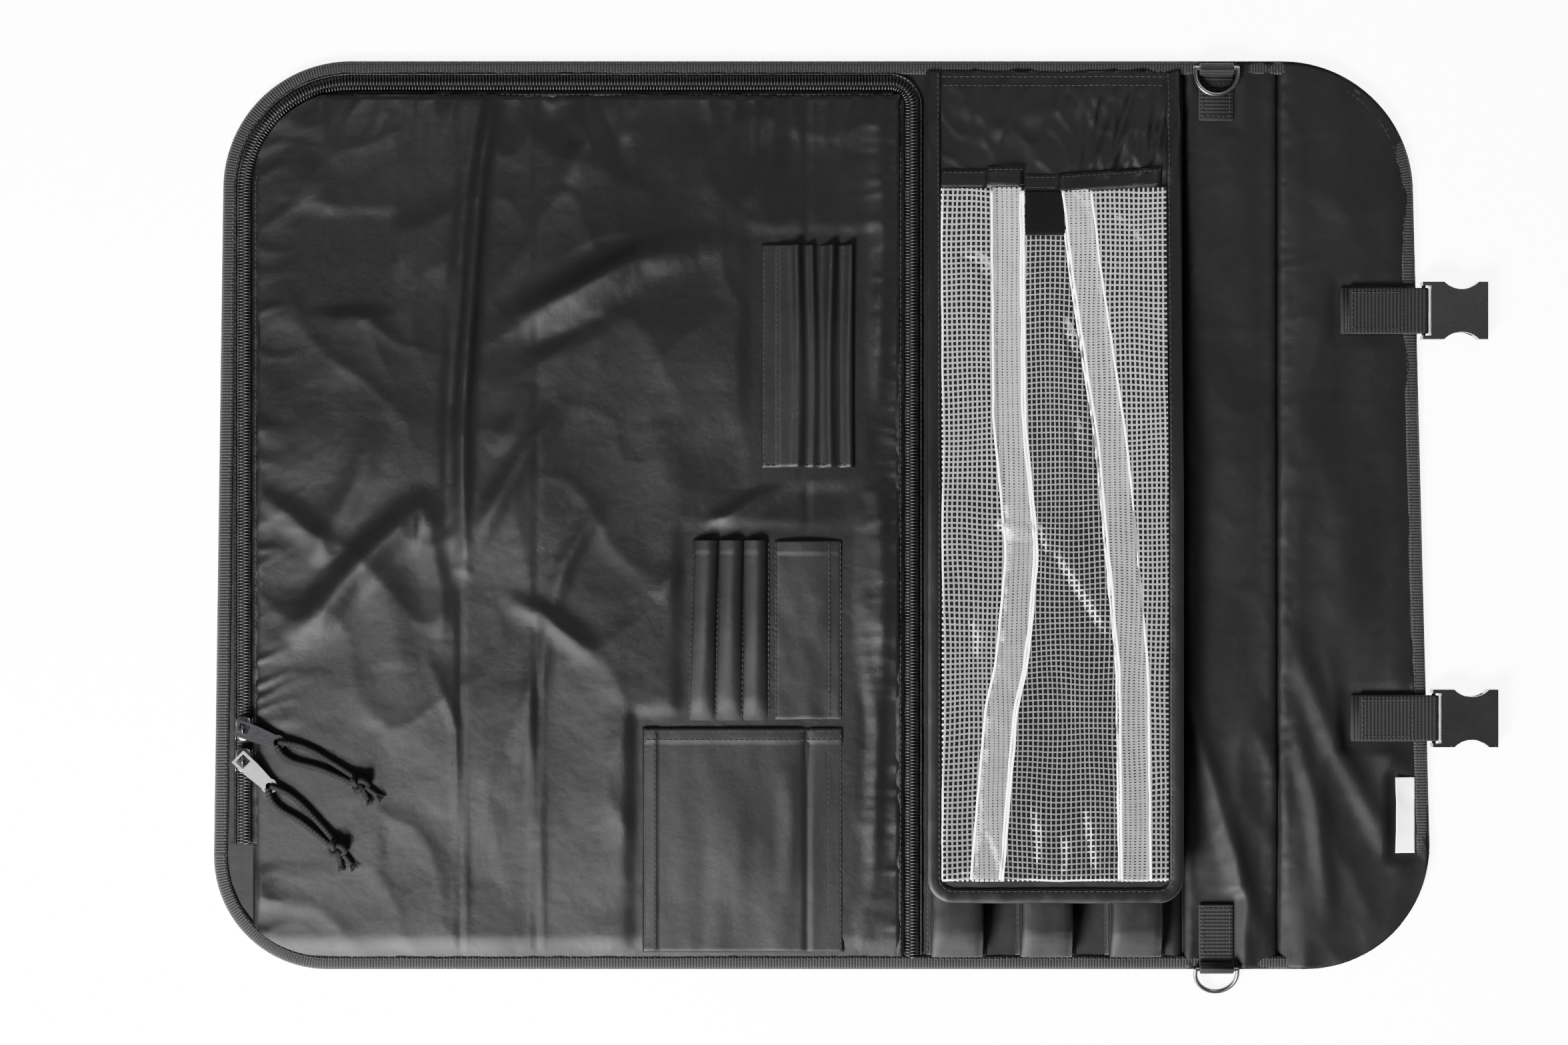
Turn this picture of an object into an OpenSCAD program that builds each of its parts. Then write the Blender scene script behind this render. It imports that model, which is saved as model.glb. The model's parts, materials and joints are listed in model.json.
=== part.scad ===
// Drum stick bag, lying open and flat: seven folding panels, a zipped cover, a mesh page and stick pockets.

/* [Panels] */
// Height of every panel, along Y
panel_h = 495.5; // [440:0.5:540]
// Width of the left panel, which folds over the middle panel
left_w = 135; // [120:1:150]
// Width of the spine between the left and middle panels
narrow_w = 41.5; // [38:0.5:46]
// Width of the middle panel
middle_w = 147; // [135:1:160]
// Width of the spine between the middle and stick panels
wide_w = 64; // [60:1:70]
// Width of the panel that carries the stick pockets
stick_w = 140.5; // [135:0.5:160]
// Width of the strip that carries the two D-rings
strip_w = 52; // [50:1:60]
// Width of the closing flap
flap_w = 83; // [75:1:95]
// Thickness of the padded outer shell
shell_t = 3; // [2.5:0.1:3.2]
// Width of the grosgrain edge binding
binding_w = 7.6; // [6:0.2:9]
// How far the left edge leans in towards the top
left_lean = 5; // [0:0.5:5]
// How far the right edge leans in towards the top
right_lean = 9; // [0:0.5:10]

/* [Zip] */
// Thickness of the thin nylon cover and its lining
cover_t = 1.7; // [1:0.1:1.7]
// Width of the closed zip chain
coil_w = 7.2; // [5:0.2:8]
// Distance from the bag's left edge to the left zip run
zip_left = 17.3; // [17.2:0.1:20]
// Distance from the bag's top edge to the top zip run
zip_top = 12.6; // [12.4:0.1:18]
// Height of the lower end of the left zip run above the bag's bottom edge
zip_end = 69; // [60:1:120]
// Length of each zip slider
slider_l = 14; // [10:0.5:14]
// Distance along the pull tab from its pivot to its eye
pull_reach = 20; // [16:1:24]
// Diameter of the braided pull cords
cord_d = 3.8; // [3:0.2:4]

/* [Pockets] */
// Outer width of each stick pocket
stick_pocket_w = 28; // [24:1:30]
// Inner height of each stick pocket, for one stick
stick_pocket_h = 15; // [12:0.5:15]
// Length of each stick pocket
stick_pocket_l = 250; // [180:5:300]
// Distance between the middles of the stick pockets
stick_pitch = 48.4; // [44:0.2:50]
// Thickness of the pocket fabric
fabric_t = 1; // [0.6:0.1:1.2]
// Width of the hanging mesh page
page_w = 138.5; // [120:0.5:138.5]
// Length of the hanging mesh page
page_l = 451; // [380:1:460]

/* [Hardware] */
// Width of the buckle webbing
webbing_w = 25; // [20:1:25]
// Length of each buckle, from its bar to its mouth
buckle_l = 34.5; // [30:0.5:36]
// Diameter of the D-ring wire
ring_wire = 2.8; // [2:0.1:3]
// Inner width of each D-ring
ring_inner = 20; // [16:1:24]

/* [Hidden] */
$fn = 48;

// D-ring: the bar's height and how far each ring reaches past the bar
ring_r = ring_inner / 2 + ring_wire / 2;
ring_leg = 2.6;
ring_reach = ring_leg + ring_r;
ring_droop = 22;
loop_gap = 0.3;
ring_tab_t = 1.2;
ring_tab_w = 18.5;
binding_t = 1;
loop_r = ring_wire / 2 + loop_gap + ring_tab_t;
ring_z = shell_t + binding_t + loop_r + 0.05;
ring_in = 1;
ring_overhang = ring_reach * cos(ring_droop) + ring_wire / 2 - ring_in;

// Outline and seams
panels_w = left_w + narrow_w + middle_w + wide_w + stick_w + strip_w + flap_w;
buckle_past_edge = 36;
x_left = -(panels_w + buckle_past_edge) / 2;
y_bot = -(panel_h + ring_overhang) / 2 + ring_overhang;
y_top = y_bot + panel_h;
x_narrow = x_left + left_w;
x_middle = x_narrow + narrow_w;
x_wide = x_middle + middle_w;
x_stick = x_wide + wide_w;
x_strip = x_stick + stick_w;
x_flap = x_strip + strip_w;
x_right = x_flap + flap_w;
r_tl = 70;
r_tr = 72;
r_br = 68;
r_bl = 62;
edge_t = 0.8;
seam_gap = 0.2;

// Levels
cover_z = shell_t + cover_t;
tape_t = 0.9;
coil_t = 2;
tape_w = 9;
sewn_gap = 0.3;

// Zip lines
zip_x0 = x_left + zip_left;
zip_x1 = x_stick - 7;
zip_y1 = y_top - zip_top;
zip_y0 = y_bot + zip_end;
zip_right_end = y_bot + 10;
zip_r0 = 58;
zip_r1 = 12;
zip_setback = 3.6;

// Sliders and pulls
slider_z = shell_t + tape_t + coil_t + 0.3;
slider_t = 1.3;
bail_r = 0.8;
bail_half = 1.8;
pull_z = slider_z + slider_t + 3.3;
pull_t = 1.4;
pull_slope = 10.5;
slider_upper_y = y_bot + 131.6;
slider_lower_y = y_bot + 114.5;
pull_upper_turn = -22;
pull_lower_turn = -45;
cord_upper_turn = -26;
cord_lower_turn = -42;
eye_r = 2;
knot_r = 5;
knot_u = 50;

// Routes of the two strands of a pull cord, from the tab's eye: along, across and up from the surface
strand_a = [
    [0.5, 0.6, 2.9], [3, 1.6, 2.9], [6, 2.6, 2.6], [9, 3.4, 2.3], [12, 4, 2.1], [15, 4.3, 2],
    [18, 4.4, 2], [21, 4.4, 2], [24, 4.2, 2], [27, 3.9, 2], [30, 3.6, 2], [34, 3.2, 2],
    [38, 2.8, 2.1], [42, 2.3, 2.4], [46, 1.9, 2.9]
];
strand_b = [
    [0.5, -1.4, 2.9], [2.5, -3, 2.9], [5, -4.4, 2.6], [8, -5.2, 2.3], [11, -5.4, 2.1], [14, -5.2, 2],
    [17, -4.6, 2], [20, -3.9, 2], [23, -3.2, 2], [26, -2.8, 2], [30, -2.4, 2], [34, -2.2, 2],
    [38, -2, 2.1], [42, -1.8, 2.4], [46, -1.7, 2.9]
];

// Stick pockets and page
stick_x = x_stick + 17.3;
stick_y0 = y_bot + binding_w + 0.3;
stick_flange = 2.5;
stick_top = shell_t + stick_pocket_h + fabric_t;
page_x0 = x_stick + 0.4;
page_x1 = page_x0 + page_w;
page_y1 = y_top - 6;
page_y0 = page_y1 - page_l;
page_knee = stick_y0 + stick_pocket_l + 3;
page_z = stick_top + 0.4;
page_top_z = shell_t + binding_t + 0.3;
page_binding = 8;
page_r = 14;
page_layer_z = 0.8;
mesh_y0 = page_y0 + 12;
mesh_y1 = page_y1 - 64;
mesh_left_x = [page_x0 + page_binding + 0.2, x_stick + 53];
mesh_right_x = [x_stick + 73, page_x1 - page_binding - 0.2];
trim_right_x1 = x_stick + 129;
pleat_x = [x_stick + 55, x_stick + 71];
hook_x = [x_stick + 54, x_stick + 72];

// Pockets sewn on the cover; each crosses the seam between the middle panel and the wide spine
pocket_t = 1.3;
pocket_z = cover_z + pocket_t;
pocket_setback = 3.8;
pleated_y = [y_bot + 273, y_bot + 395];
slip_y = [y_bot + 136, y_bot + 234];
patch_y = [y_bot + 10, y_bot + 132];
pen_w = 13.5;
pen_h = 5.5;
pen_wall = 0.6;
pen_x = x_wide - 62;

// D-rings on their tabs
ring_x = x_strip + 18;
ring_top_y = y_top - 5;
ring_bottom_y = y_bot + ring_in;
ring_top_tail = 28;
ring_bottom_tail = 35;

// Flap hardware
label_x = x_right - 19.4;
label_w = 10.5;
label_y = [y_bot + 64, y_bot + 105];
strap_t = 1.3;
strap_l = 45;
strap_fold_l = 14;
strap_z = shell_t + binding_t + 0.05;
buckle_t = 9;
buckle_w = 31.5;
buckle_wall = 2.2;
buckle_slot = 3.3;
buckle_bridge = 2.4;
window_x = 20;
window_out = 9;
window_r = 13;
bar_r = 1.2;
bar_z = buckle_t / 2;
buckle_upper_y = y_bot + 359;
buckle_lower_y = y_bot + 137.3;
bar_upper_x = x_right - 4;
bar_lower_x = x_right + buckle_past_edge - buckle_l;
strap_loop_r = bar_r + loop_gap + strap_t;

fabric = [0.07, 0.07, 0.08];
shiny = [0.12, 0.12, 0.13];
steel = [0.62, 0.62, 0.64];

function arc(cx, cy, r, a0, a1, n = 8) =
    [for (i = [0:n]) let (a = a0 + (a1 - a0) * i / n) [cx + r * cos(a), cy + r * sin(a)]];

// The bag's outline, pulled in by an inset
function outline(inset) = concat(
    arc(x_left + left_lean + r_tl, y_top - r_tl, r_tl - inset, 180, 90),
    arc(x_right - right_lean - r_tr, y_top - r_tr, r_tr - inset, 90, 0),
    arc(x_right - r_br, y_bot + r_br, r_br - inset, 0, -90),
    arc(x_left + r_bl, y_bot + r_bl, r_bl - inset, 270, 180)
);

// The three-sided zip line, moved outwards by e, open towards the bottom edge
function zip_line(e) = concat(
    [[zip_x0 - e, y_bot]],
    arc(zip_x0 + zip_r0, zip_y1 - zip_r0, zip_r0 + e, 180, 90),
    arc(zip_x1 - zip_r1, zip_y1 - zip_r1, zip_r1 + e, 90, 0),
    [[zip_x1 + e, y_bot]]
);

// Height of the page's underside, which slopes from the stick pockets up to the top seam
function page_level(y) = y <= page_knee ? page_z
    : page_z + (page_top_z - page_z) * (y - page_knee) / (page_y1 - page_knee);

function unit(v) = v / norm(v);

// Closed tube of eight sides along a route
module tube(route, d) {
    sides = 8;
    last = len(route) - 1;
    rings = [for (i = [0:last])
        let (
            t = unit(route[min(i + 1, last)] - route[max(i - 1, 0)]),
            side = unit(cross(t, [0, 0, 1])),
            up = cross(side, t)
        )
        for (k = [0:sides - 1]) route[i] + d / 2 * (side * cos(360 * k / sides) + up * sin(360 * k / sides))];
    walls = [for (i = [0:last - 1], k = [0:sides - 1])
        let (a = i * sides + k, b = i * sides + (k + 1) % sides) [a, b, b + sides, a + sides]];
    polyhedron(rings, concat([[for (k = [sides - 1:-1:0]) k]], walls, [[for (k = [0:sides - 1]) last * sides + k]]));
}

module column(x0, x1, y0 = y_bot - 1, y1 = y_top + 1) {
    translate([x0, y0]) square([x1 - x0, y1 - y0]);
}

module plate(x0, x1, y0, y1, z0, z1) {
    translate([x0, y0, z0]) cube([x1 - x0, y1 - y0, z1 - z0]);
}

module shell(x0, x1) {
    color(fabric) linear_extrude(shell_t) intersection() {
        polygon(outline(edge_t));
        column(x0 + seam_gap, x1 - seam_gap);
    }
}

module binding_ring(inset, z0, z1, x0, x1) {
    translate([0, 0, z0]) linear_extrude(z1 - z0) intersection() {
        difference() {
            polygon(outline(0));
            polygon(outline(inset));
        }
        column(x0 + seam_gap, x1 - seam_gap);
    }
}

// Binding tape: over the edge and along the inner face
module binding(x0, x1) {
    color([0.1, 0.1, 0.11]) {
        binding_ring(edge_t, 0, shell_t, x0, x1);
        binding_ring(binding_w, shell_t, shell_t + binding_t, x0, x1);
    }
}

// Thin nylon cover inside the zip line
module cover(x0, x1) {
    color(shiny) translate([0, 0, shell_t]) linear_extrude(cover_t) intersection() {
        polygon(zip_line(-tape_w / 2 - sewn_gap));
        polygon(outline(binding_w + sewn_gap));
        column(x0 + seam_gap, x1 - seam_gap);
    }
}

module zip_band(w, z0, z1, x0, x1, y0) {
    translate([0, 0, z0]) linear_extrude(z1 - z0) intersection() {
        difference() {
            polygon(zip_line(w / 2));
            polygon(zip_line(-w / 2));
        }
        column(x0, x1, y0);
    }
}

// Zip tape with the closed coil chain on it
module zip(x0, x1, y0) {
    color(fabric) {
        zip_band(tape_w, shell_t, shell_t + tape_t, x0, x1, y0);
        zip_band(coil_w, shell_t + tape_t, shell_t + tape_t + coil_t, x0, x1, y0);
    }
}

// Bellows pocket: a channel sewn down along both sides and closed at the bottom
module stick_pocket(i) {
    w = stick_pocket_w / 2;
    h = stick_pocket_h;
    f = stick_flange;
    t = fabric_t;
    color(fabric) translate([stick_x + i * stick_pitch, 0, shell_t]) {
        translate([0, stick_y0 + stick_pocket_l, 0]) rotate([90, 0, 0]) linear_extrude(stick_pocket_l)
            polygon([
                [-w - f, 0], [-w + t, 0], [-w + t, h], [w - t, h], [w - t, 0], [w + f, 0],
                [w + f, t], [w, t], [w, h + t], [-w, h + t], [-w, t], [-w - f, t]
            ]);
        translate([-w + t, stick_y0, 0]) cube([2 * (w - t), t, h]);
    }
}

// A layer of the page between two heights above its underside
module page_layer(x0, x1, y0, y1, a, b) {
    ys = concat([y0], y0 < page_knee && page_knee < y1 ? [page_knee] : [], [y1]);
    n = len(ys);
    translate([x0, 0, 0]) rotate([90, 0, 90]) linear_extrude(x1 - x0) polygon(concat(
        [for (y = ys) [y, page_level(y) + a]],
        [for (i = [n - 1:-1:0]) [ys[i], page_level(ys[i]) + b]]
    ));
}

// The page's shape from above, with round lower corners
module page_shape(inset) {
    r = page_r - inset;
    x0 = page_x0 + inset;
    x1 = page_x1 - inset;
    y0 = page_y0 + inset;
    linear_extrude(60) polygon(concat(
        arc(x0 + r, y0 + r, r, 180, 270),
        arc(x1 - r, y0 + r, r, 270, 360),
        [[x1, page_y1], [x0, page_y1]]
    ));
}

module page_backing() {
    color(fabric) intersection() {
        page_layer(page_x0, page_x1, page_y0, page_y1, 0, page_layer_z);
        page_shape(0);
    }
}

module page_edge() {
    color(shiny) intersection() {
        page_layer(page_x0, page_x1, page_y0, page_y1 - 2, page_layer_z, 1.8);
        difference() {
            page_shape(0);
            page_shape(page_binding);
        }
    }
}

module page_mesh(x) {
    color([0.75, 0.75, 0.75]) page_layer(x[0], x[1], mesh_y0, mesh_y1, page_layer_z, 1.6);
}

module page_mesh_trim() {
    color(fabric) {
        page_layer(mesh_left_x[0], mesh_left_x[1], mesh_y1 + 0.2, mesh_y1 + 11, page_layer_z, 2);
        page_layer(mesh_right_x[0], trim_right_x1, mesh_y1 + 0.2, mesh_y1 + 8, page_layer_z, 2);
    }
}

module page_pleat_band() {
    color(shiny) page_layer(pleat_x[0], pleat_x[1], mesh_y0, mesh_y1 - 30, page_layer_z, 2);
}

module page_hook_tab() {
    color(fabric) page_layer(hook_x[0], hook_x[1], mesh_y1 - 26, mesh_y1 + 1, page_layer_z, 2.1);
}

module slider(y) {
    w = tape_w / 2 + 0.5;
    color(steel) translate([zip_x0, y, 0]) {
        plate(-w, w, -slider_l / 2, slider_l / 2, slider_z, slider_z + slider_t);
        for (s = [-1, 1])
            plate(s * w - (s > 0 ? 1.1 : 0), s * w + (s < 0 ? 1.1 : 0), -slider_l / 2, slider_l / 2,
                cover_z + 0.3, slider_z);
        for (s = [-1, 1])
            plate(-0.6, 0.6, s * 1.3 - 0.5, s * 1.3 + 0.5, slider_z + slider_t, pull_z);
        translate([0, bail_half, pull_z]) rotate([90, 0, 0]) cylinder(r = bail_r, h = 2 * bail_half);
    }
}

module pull_tab(y, turn) {
    color(steel) translate([zip_x0, y, pull_z]) rotate([0, 0, turn]) rotate([0, pull_slope, 0])
        translate([0, 0, -pull_t / 2]) linear_extrude(pull_t) difference() {
            union() {
                polygon([[-3.6, -4.5], [7, -4.5], [pull_reach - 2, -3.6], [pull_reach - 2, 3.6], [7, 4.5], [-3.6, 4.5]]);
                translate([pull_reach, 0]) circle(r = 4.2);
            }
            translate([-2.4, -3]) square([5.6, 6]);
            translate([pull_reach, 0]) circle(r = eye_r);
        }
}

// Puts children, drawn from the eye along the cord's heading with z from the cover, in place
module at_eye(y, turn, cord_turn) {
    reach = pull_reach * cos(pull_slope);
    translate([zip_x0 + reach * cos(turn), y + reach * sin(turn), cover_z]) rotate([0, 0, cord_turn]) children();
}

module pull_cord(route, y, turn, cord_turn) {
    color(fabric) at_eye(y, turn, cord_turn) tube(route, cord_d);
}

module pull_knot(y, turn, cord_turn) {
    color(fabric) at_eye(y, turn, cord_turn) translate([knot_u, 0, 0]) {
        cylinder(r = knot_r, h = 2 * knot_r - 2);
        for (a = [-12, -42]) rotate([0, 0, a]) translate([0, -1.4, 0.2]) cube([13 + a / 20, 2.8, 2.8]);
    }
}

// Webbing loop round a bar along X, with a tail towards -Y
module ring_tab(y, tail) {
    color(shiny) translate([ring_x - ring_tab_w / 2, y, ring_z]) {
        difference() {
            union() {
                rotate([0, 90, 0]) cylinder(r = loop_r, h = ring_tab_w);
                translate([0, tail > 0 ? 0 : tail, -loop_r]) cube([ring_tab_w, abs(tail), ring_tab_t]);
            }
            translate([-1, 0, 0]) rotate([0, 90, 0]) cylinder(r = loop_r - ring_tab_t, h = ring_tab_w + 2);
        }
        translate([0, tail > 0 ? binding_w : tail, -loop_r - binding_t])
            cube([ring_tab_w, abs(tail) - binding_w, binding_t]);
    }
}

// D-ring round its bar along X, pointing towards -Y
module d_ring(y, droop) {
    color([0.3, 0.3, 0.31]) translate([ring_x, y, ring_z]) rotate([droop, 0, 0]) {
        translate([-ring_r, 0, 0]) rotate([0, 90, 0]) cylinder(d = ring_wire, h = 2 * ring_r);
        translate([0, -ring_leg, 0]) rotate([0, 0, 180]) rotate_extrude(angle = 180)
            translate([ring_r, 0]) circle(d = ring_wire);
        for (s = [-1, 1]) {
            translate([s * ring_r, 0, 0]) rotate([90, 0, 0]) cylinder(d = ring_wire, h = ring_leg);
            translate([s * ring_r, 0, 0]) sphere(d = ring_wire);
        }
    }
}

module buckle_strap(x, y) {
    color(shiny) {
        difference() {
            union() {
                translate([x, y + webbing_w / 2, bar_z]) rotate([90, 0, 0]) cylinder(r = strap_loop_r, h = webbing_w);
                plate(x - strap_l, x, y - webbing_w / 2, y + webbing_w / 2, strap_z, strap_z + strap_t);
            }
            translate([x, y + webbing_w / 2 + 1, bar_z]) rotate([90, 0, 0])
                cylinder(r = strap_loop_r - strap_t, h = webbing_w + 2);
        }
        plate(x - strap_l, x - strap_fold_l, y - webbing_w / 2, y + webbing_w / 2, shell_t, strap_z);
    }
}

// Female side-release buckle: a bar, a strap slot, and a socket open towards +X with side windows
module buckle(x, y) {
    w = buckle_w / 2;
    inner = w - buckle_wall;
    color([0.08, 0.08, 0.08]) translate([x, y, 0]) {
        translate([0, w, bar_z]) rotate([90, 0, 0]) cylinder(r = bar_r, h = 2 * w);
        difference() {
            translate([-bar_r, -w, 0.6]) cube([buckle_l + bar_r, 2 * w, buckle_t - 1.2]);
            translate([-bar_r - 1, -inner, -1]) cube([buckle_slot + bar_r + 1, 2 * inner, buckle_t + 2]);
            translate([buckle_slot + buckle_bridge, -inner, 2]) cube([buckle_l, 2 * inner, buckle_t - 4]);
            for (s = [-1, 1])
                translate([window_x, s * (w + window_out), -1]) cylinder(r = window_r, h = buckle_t + 2);
        }
    }
}

module shell_stick_panel() { shell(x_stick, x_strip); }
module binding_stick_panel() { binding(x_stick, x_strip); }
module shell_wide_spine() { shell(x_wide, x_stick); }
module binding_wide_spine() { binding(x_wide, x_stick); }
module cover_wide_spine() { cover(x_wide, x_stick); }
module zip_wide_spine() { zip(x_wide + zip_setback, x_stick - 1, zip_right_end); }
module shell_middle_panel() { shell(x_middle, x_wide); }
module binding_middle_panel() { binding(x_middle, x_wide); }
module cover_middle_panel() { cover(x_middle, x_wide); }
module zip_middle_panel() { zip(x_middle + 1, x_wide - zip_setback, 0); }
module shell_narrow_spine() { shell(x_narrow, x_middle); }
module binding_narrow_spine() { binding(x_narrow, x_middle); }
module cover_narrow_spine() { cover(x_narrow, x_middle); }
module zip_narrow_spine() { zip(x_narrow + zip_setback, x_middle - 1, 0); }
module shell_left_panel() { shell(x_left - 1, x_narrow); }
module binding_left_panel() { binding(x_left - 1, x_narrow); }
module cover_left_panel() { cover(x_left, x_narrow); }
module zip_left_panel() { zip(x_left, x_narrow - zip_setback, zip_y0); }
module shell_ring_strip() { shell(x_strip, x_flap); }
module binding_ring_strip() { binding(x_strip, x_flap); }
module shell_flap() { shell(x_flap, x_right + 1); }
module binding_flap() { binding(x_flap, x_right + 1); }

module flat_pocket(x0, x1, ys) {
    color(shiny) plate(x0, x1, ys[0], ys[1], cover_z, pocket_z);
}

module pleated_pocket() { flat_pocket(x_wide - 25, x_wide - pocket_setback, pleated_y); }
module pleated_pocket_side() { flat_pocket(x_wide + pocket_setback, x_wide + 26, pleated_y); }
module slip_pocket() { flat_pocket(x_wide - 18, x_wide - pocket_setback, slip_y); }
module slip_pocket_side() { flat_pocket(x_wide + pocket_setback, x_wide + 19.5, slip_y); }
module patch_pocket() { flat_pocket(x_wide - 82, x_wide - pocket_setback, patch_y); }
module patch_pocket_side() { flat_pocket(x_wide + pocket_setback, x_wide + 20, patch_y); }
module patch_pocket_hem() {
    color(fabric) plate(x_wide - 90, x_wide - 82.2, patch_y[0], patch_y[1], cover_z, pocket_z + 0.2);
}

// Three narrow tubes for pens, open at the top
module pen_pockets() {
    color(shiny) for (i = [0:2]) translate([pen_x + i * pen_w, slip_y[0], cover_z]) difference() {
        cube([pen_w - 0.4, slip_y[1] - slip_y[0], pen_h]);
        translate([pen_wall, 1, pen_wall]) cube([pen_w - 0.4 - 2 * pen_wall, 200, pen_h - 2 * pen_wall]);
    }
}

module care_label() {
    color("white") plate(label_x, label_x + label_w, label_y[0], label_y[1], shell_t, shell_t + 0.4);
}

shell_stick_panel();
binding_stick_panel();
stick_pocket(0);  // stick_pocket_1
stick_pocket(1);  // stick_pocket_2
stick_pocket(2);  // stick_pocket_3
page_backing();
page_edge();  // page_binding
page_mesh(mesh_left_x);  // page_mesh_left
page_mesh(mesh_right_x);  // page_mesh_right
page_mesh_trim();
page_pleat_band();
page_hook_tab();
shell_wide_spine();
binding_wide_spine();
cover_wide_spine();
zip_wide_spine();
pleated_pocket_side();
slip_pocket_side();
patch_pocket_side();
shell_middle_panel();
binding_middle_panel();
cover_middle_panel();
zip_middle_panel();
pleated_pocket();
pen_pockets();
slip_pocket();
patch_pocket();
patch_pocket_hem();
shell_narrow_spine();
binding_narrow_spine();
cover_narrow_spine();
zip_narrow_spine();
shell_left_panel();
binding_left_panel();
cover_left_panel();
zip_left_panel();
slider(slider_upper_y);  // slider_upper
slider(slider_lower_y);  // slider_lower
pull_tab(slider_upper_y, pull_upper_turn);  // pull_tab_upper
pull_cord(strand_a, slider_upper_y, pull_upper_turn, cord_upper_turn);  // pull_cord_upper_a
pull_cord(strand_b, slider_upper_y, pull_upper_turn, cord_upper_turn);  // pull_cord_upper_b
pull_knot(slider_upper_y, pull_upper_turn, cord_upper_turn);  // pull_knot_upper
pull_tab(slider_lower_y, pull_lower_turn);  // pull_tab_lower
pull_cord(strand_a, slider_lower_y, pull_lower_turn, cord_lower_turn);  // pull_cord_lower_a
pull_cord(strand_b, slider_lower_y, pull_lower_turn, cord_lower_turn);  // pull_cord_lower_b
pull_knot(slider_lower_y, pull_lower_turn, cord_lower_turn);  // pull_knot_lower
shell_ring_strip();
binding_ring_strip();
ring_tab(ring_top_y, -ring_top_tail);  // ring_tab_top
ring_tab(ring_bottom_y, ring_bottom_tail);  // ring_tab_bottom
d_ring(ring_top_y, 0);  // d_ring_top
d_ring(ring_bottom_y, ring_droop);  // d_ring_bottom
shell_flap();
binding_flap();
buckle_strap(bar_upper_x, buckle_upper_y);  // buckle_strap_upper
buckle_strap(bar_lower_x, buckle_lower_y);  // buckle_strap_lower
care_label();
buckle(bar_upper_x, buckle_upper_y);  // buckle_upper
buckle(bar_lower_x, buckle_lower_y);  // buckle_lower
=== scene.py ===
"""Drum stick bag, open and flat: the looks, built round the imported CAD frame. Lengths below are in millimetres."""
import json
import math

import bpy
import numpy as np
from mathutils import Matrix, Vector


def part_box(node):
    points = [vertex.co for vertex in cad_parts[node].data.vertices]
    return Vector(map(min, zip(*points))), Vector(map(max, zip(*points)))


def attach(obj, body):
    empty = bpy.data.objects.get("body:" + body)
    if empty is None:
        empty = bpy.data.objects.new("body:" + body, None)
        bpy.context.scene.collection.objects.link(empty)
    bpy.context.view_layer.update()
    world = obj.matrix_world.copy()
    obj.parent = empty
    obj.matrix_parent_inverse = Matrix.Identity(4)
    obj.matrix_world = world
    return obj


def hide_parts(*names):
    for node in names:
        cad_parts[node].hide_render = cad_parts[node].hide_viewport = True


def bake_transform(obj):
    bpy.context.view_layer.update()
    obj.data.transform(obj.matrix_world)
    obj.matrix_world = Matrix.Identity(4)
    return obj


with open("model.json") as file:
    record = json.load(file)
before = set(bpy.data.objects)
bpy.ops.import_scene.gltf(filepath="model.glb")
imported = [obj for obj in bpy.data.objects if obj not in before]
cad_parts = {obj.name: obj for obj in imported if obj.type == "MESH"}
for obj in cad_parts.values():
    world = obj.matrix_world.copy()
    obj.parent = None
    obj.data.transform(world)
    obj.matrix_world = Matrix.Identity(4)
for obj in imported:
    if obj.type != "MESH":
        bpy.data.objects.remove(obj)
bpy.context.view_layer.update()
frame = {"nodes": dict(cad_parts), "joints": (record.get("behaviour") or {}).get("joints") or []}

MM = 0.001

# ---------------------------------------------------------------- sizes from the frame

JOINTS = {j["name"]: j for j in frame["joints"]}


def box_mm(*nodes):
    """Lowest and highest corner of some CAD nodes, in millimetres."""
    boxes = [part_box(n) for n in nodes]
    low = np.min([np.array(b[0]) for b in boxes], axis=0) / MM
    high = np.max([np.array(b[1]) for b in boxes], axis=0) / MM
    return low, high


def joint_mm(name):
    return np.array(JOINTS[name]["pos_m"]) / MM


X_NARROW = joint_mm("left_fold_panel")[0]
X_MIDDLE = joint_mm("left_fold_spine")[0]
X_WIDE = joint_mm("main_fold_panel")[0]
X_STICK = joint_mm("main_fold_spine")[0]
X_STRIP = joint_mm("strip_fold")[0]
X_FLAP = joint_mm("flap_fold")[0]
X_LEFT, Y_BOT = box_mm("binding_left_panel")[0][:2]
X_RIGHT, Y_TOP = box_mm("binding_flap")[1][:2]
HEIGHT = Y_TOP - Y_BOT

# One entry per seam: the two bodies, the seam's place, and the body whose nodes the segment stands for
SEAMS = [
    ("left_panel", "narrow_spine", X_NARROW, ["left_panel"]),
    ("narrow_spine", "middle_panel", X_MIDDLE, ["narrow_spine"]),
    ("middle_panel", "wide_spine", X_WIDE, ["middle_panel"]),
    ("wide_spine", "stick_panel", X_STICK, ["wide_spine"]),
    ("stick_panel", "ring_strip", X_STRIP, ["stick_panel"]),
    ("ring_strip", "flap", X_FLAP, ["ring_strip", "flap"]),
]
CUTS = [(near[2] + far[2]) / 2 for near, far in zip(SEAMS, SEAMS[1:])]  # mid-panel, where one piece ends

SHELL_T = 3.0
COVER_Z = box_mm("cover_middle_panel")[1][2]
BINDING_W = 7.6
ZIP_FOOT, ZIP_TOP, ZIP_X1, ZIP_R0, ZIP_R1 = -172.06, 241.84, 31.0, 58.0, 12.0  # the zip's line and its two corners
ZIP_X0 = float(joint_mm("pull_upper_lift")[0])
TAPE_HALF = 4.4
COVER_X1 = ZIP_X1 - 4.8
CLOTH_T, THIN_CLOTH_T, LABEL_T = 0.5, 0.4, 0.25
LEFT_LEAN, RIGHT_LEAN = 5.0, 9.0
CORNERS = {"tl": 70.0, "tr": 72.0, "br": 68.0, "bl": 62.0}

# ---------------------------------------------------------------- noise and curves


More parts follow.
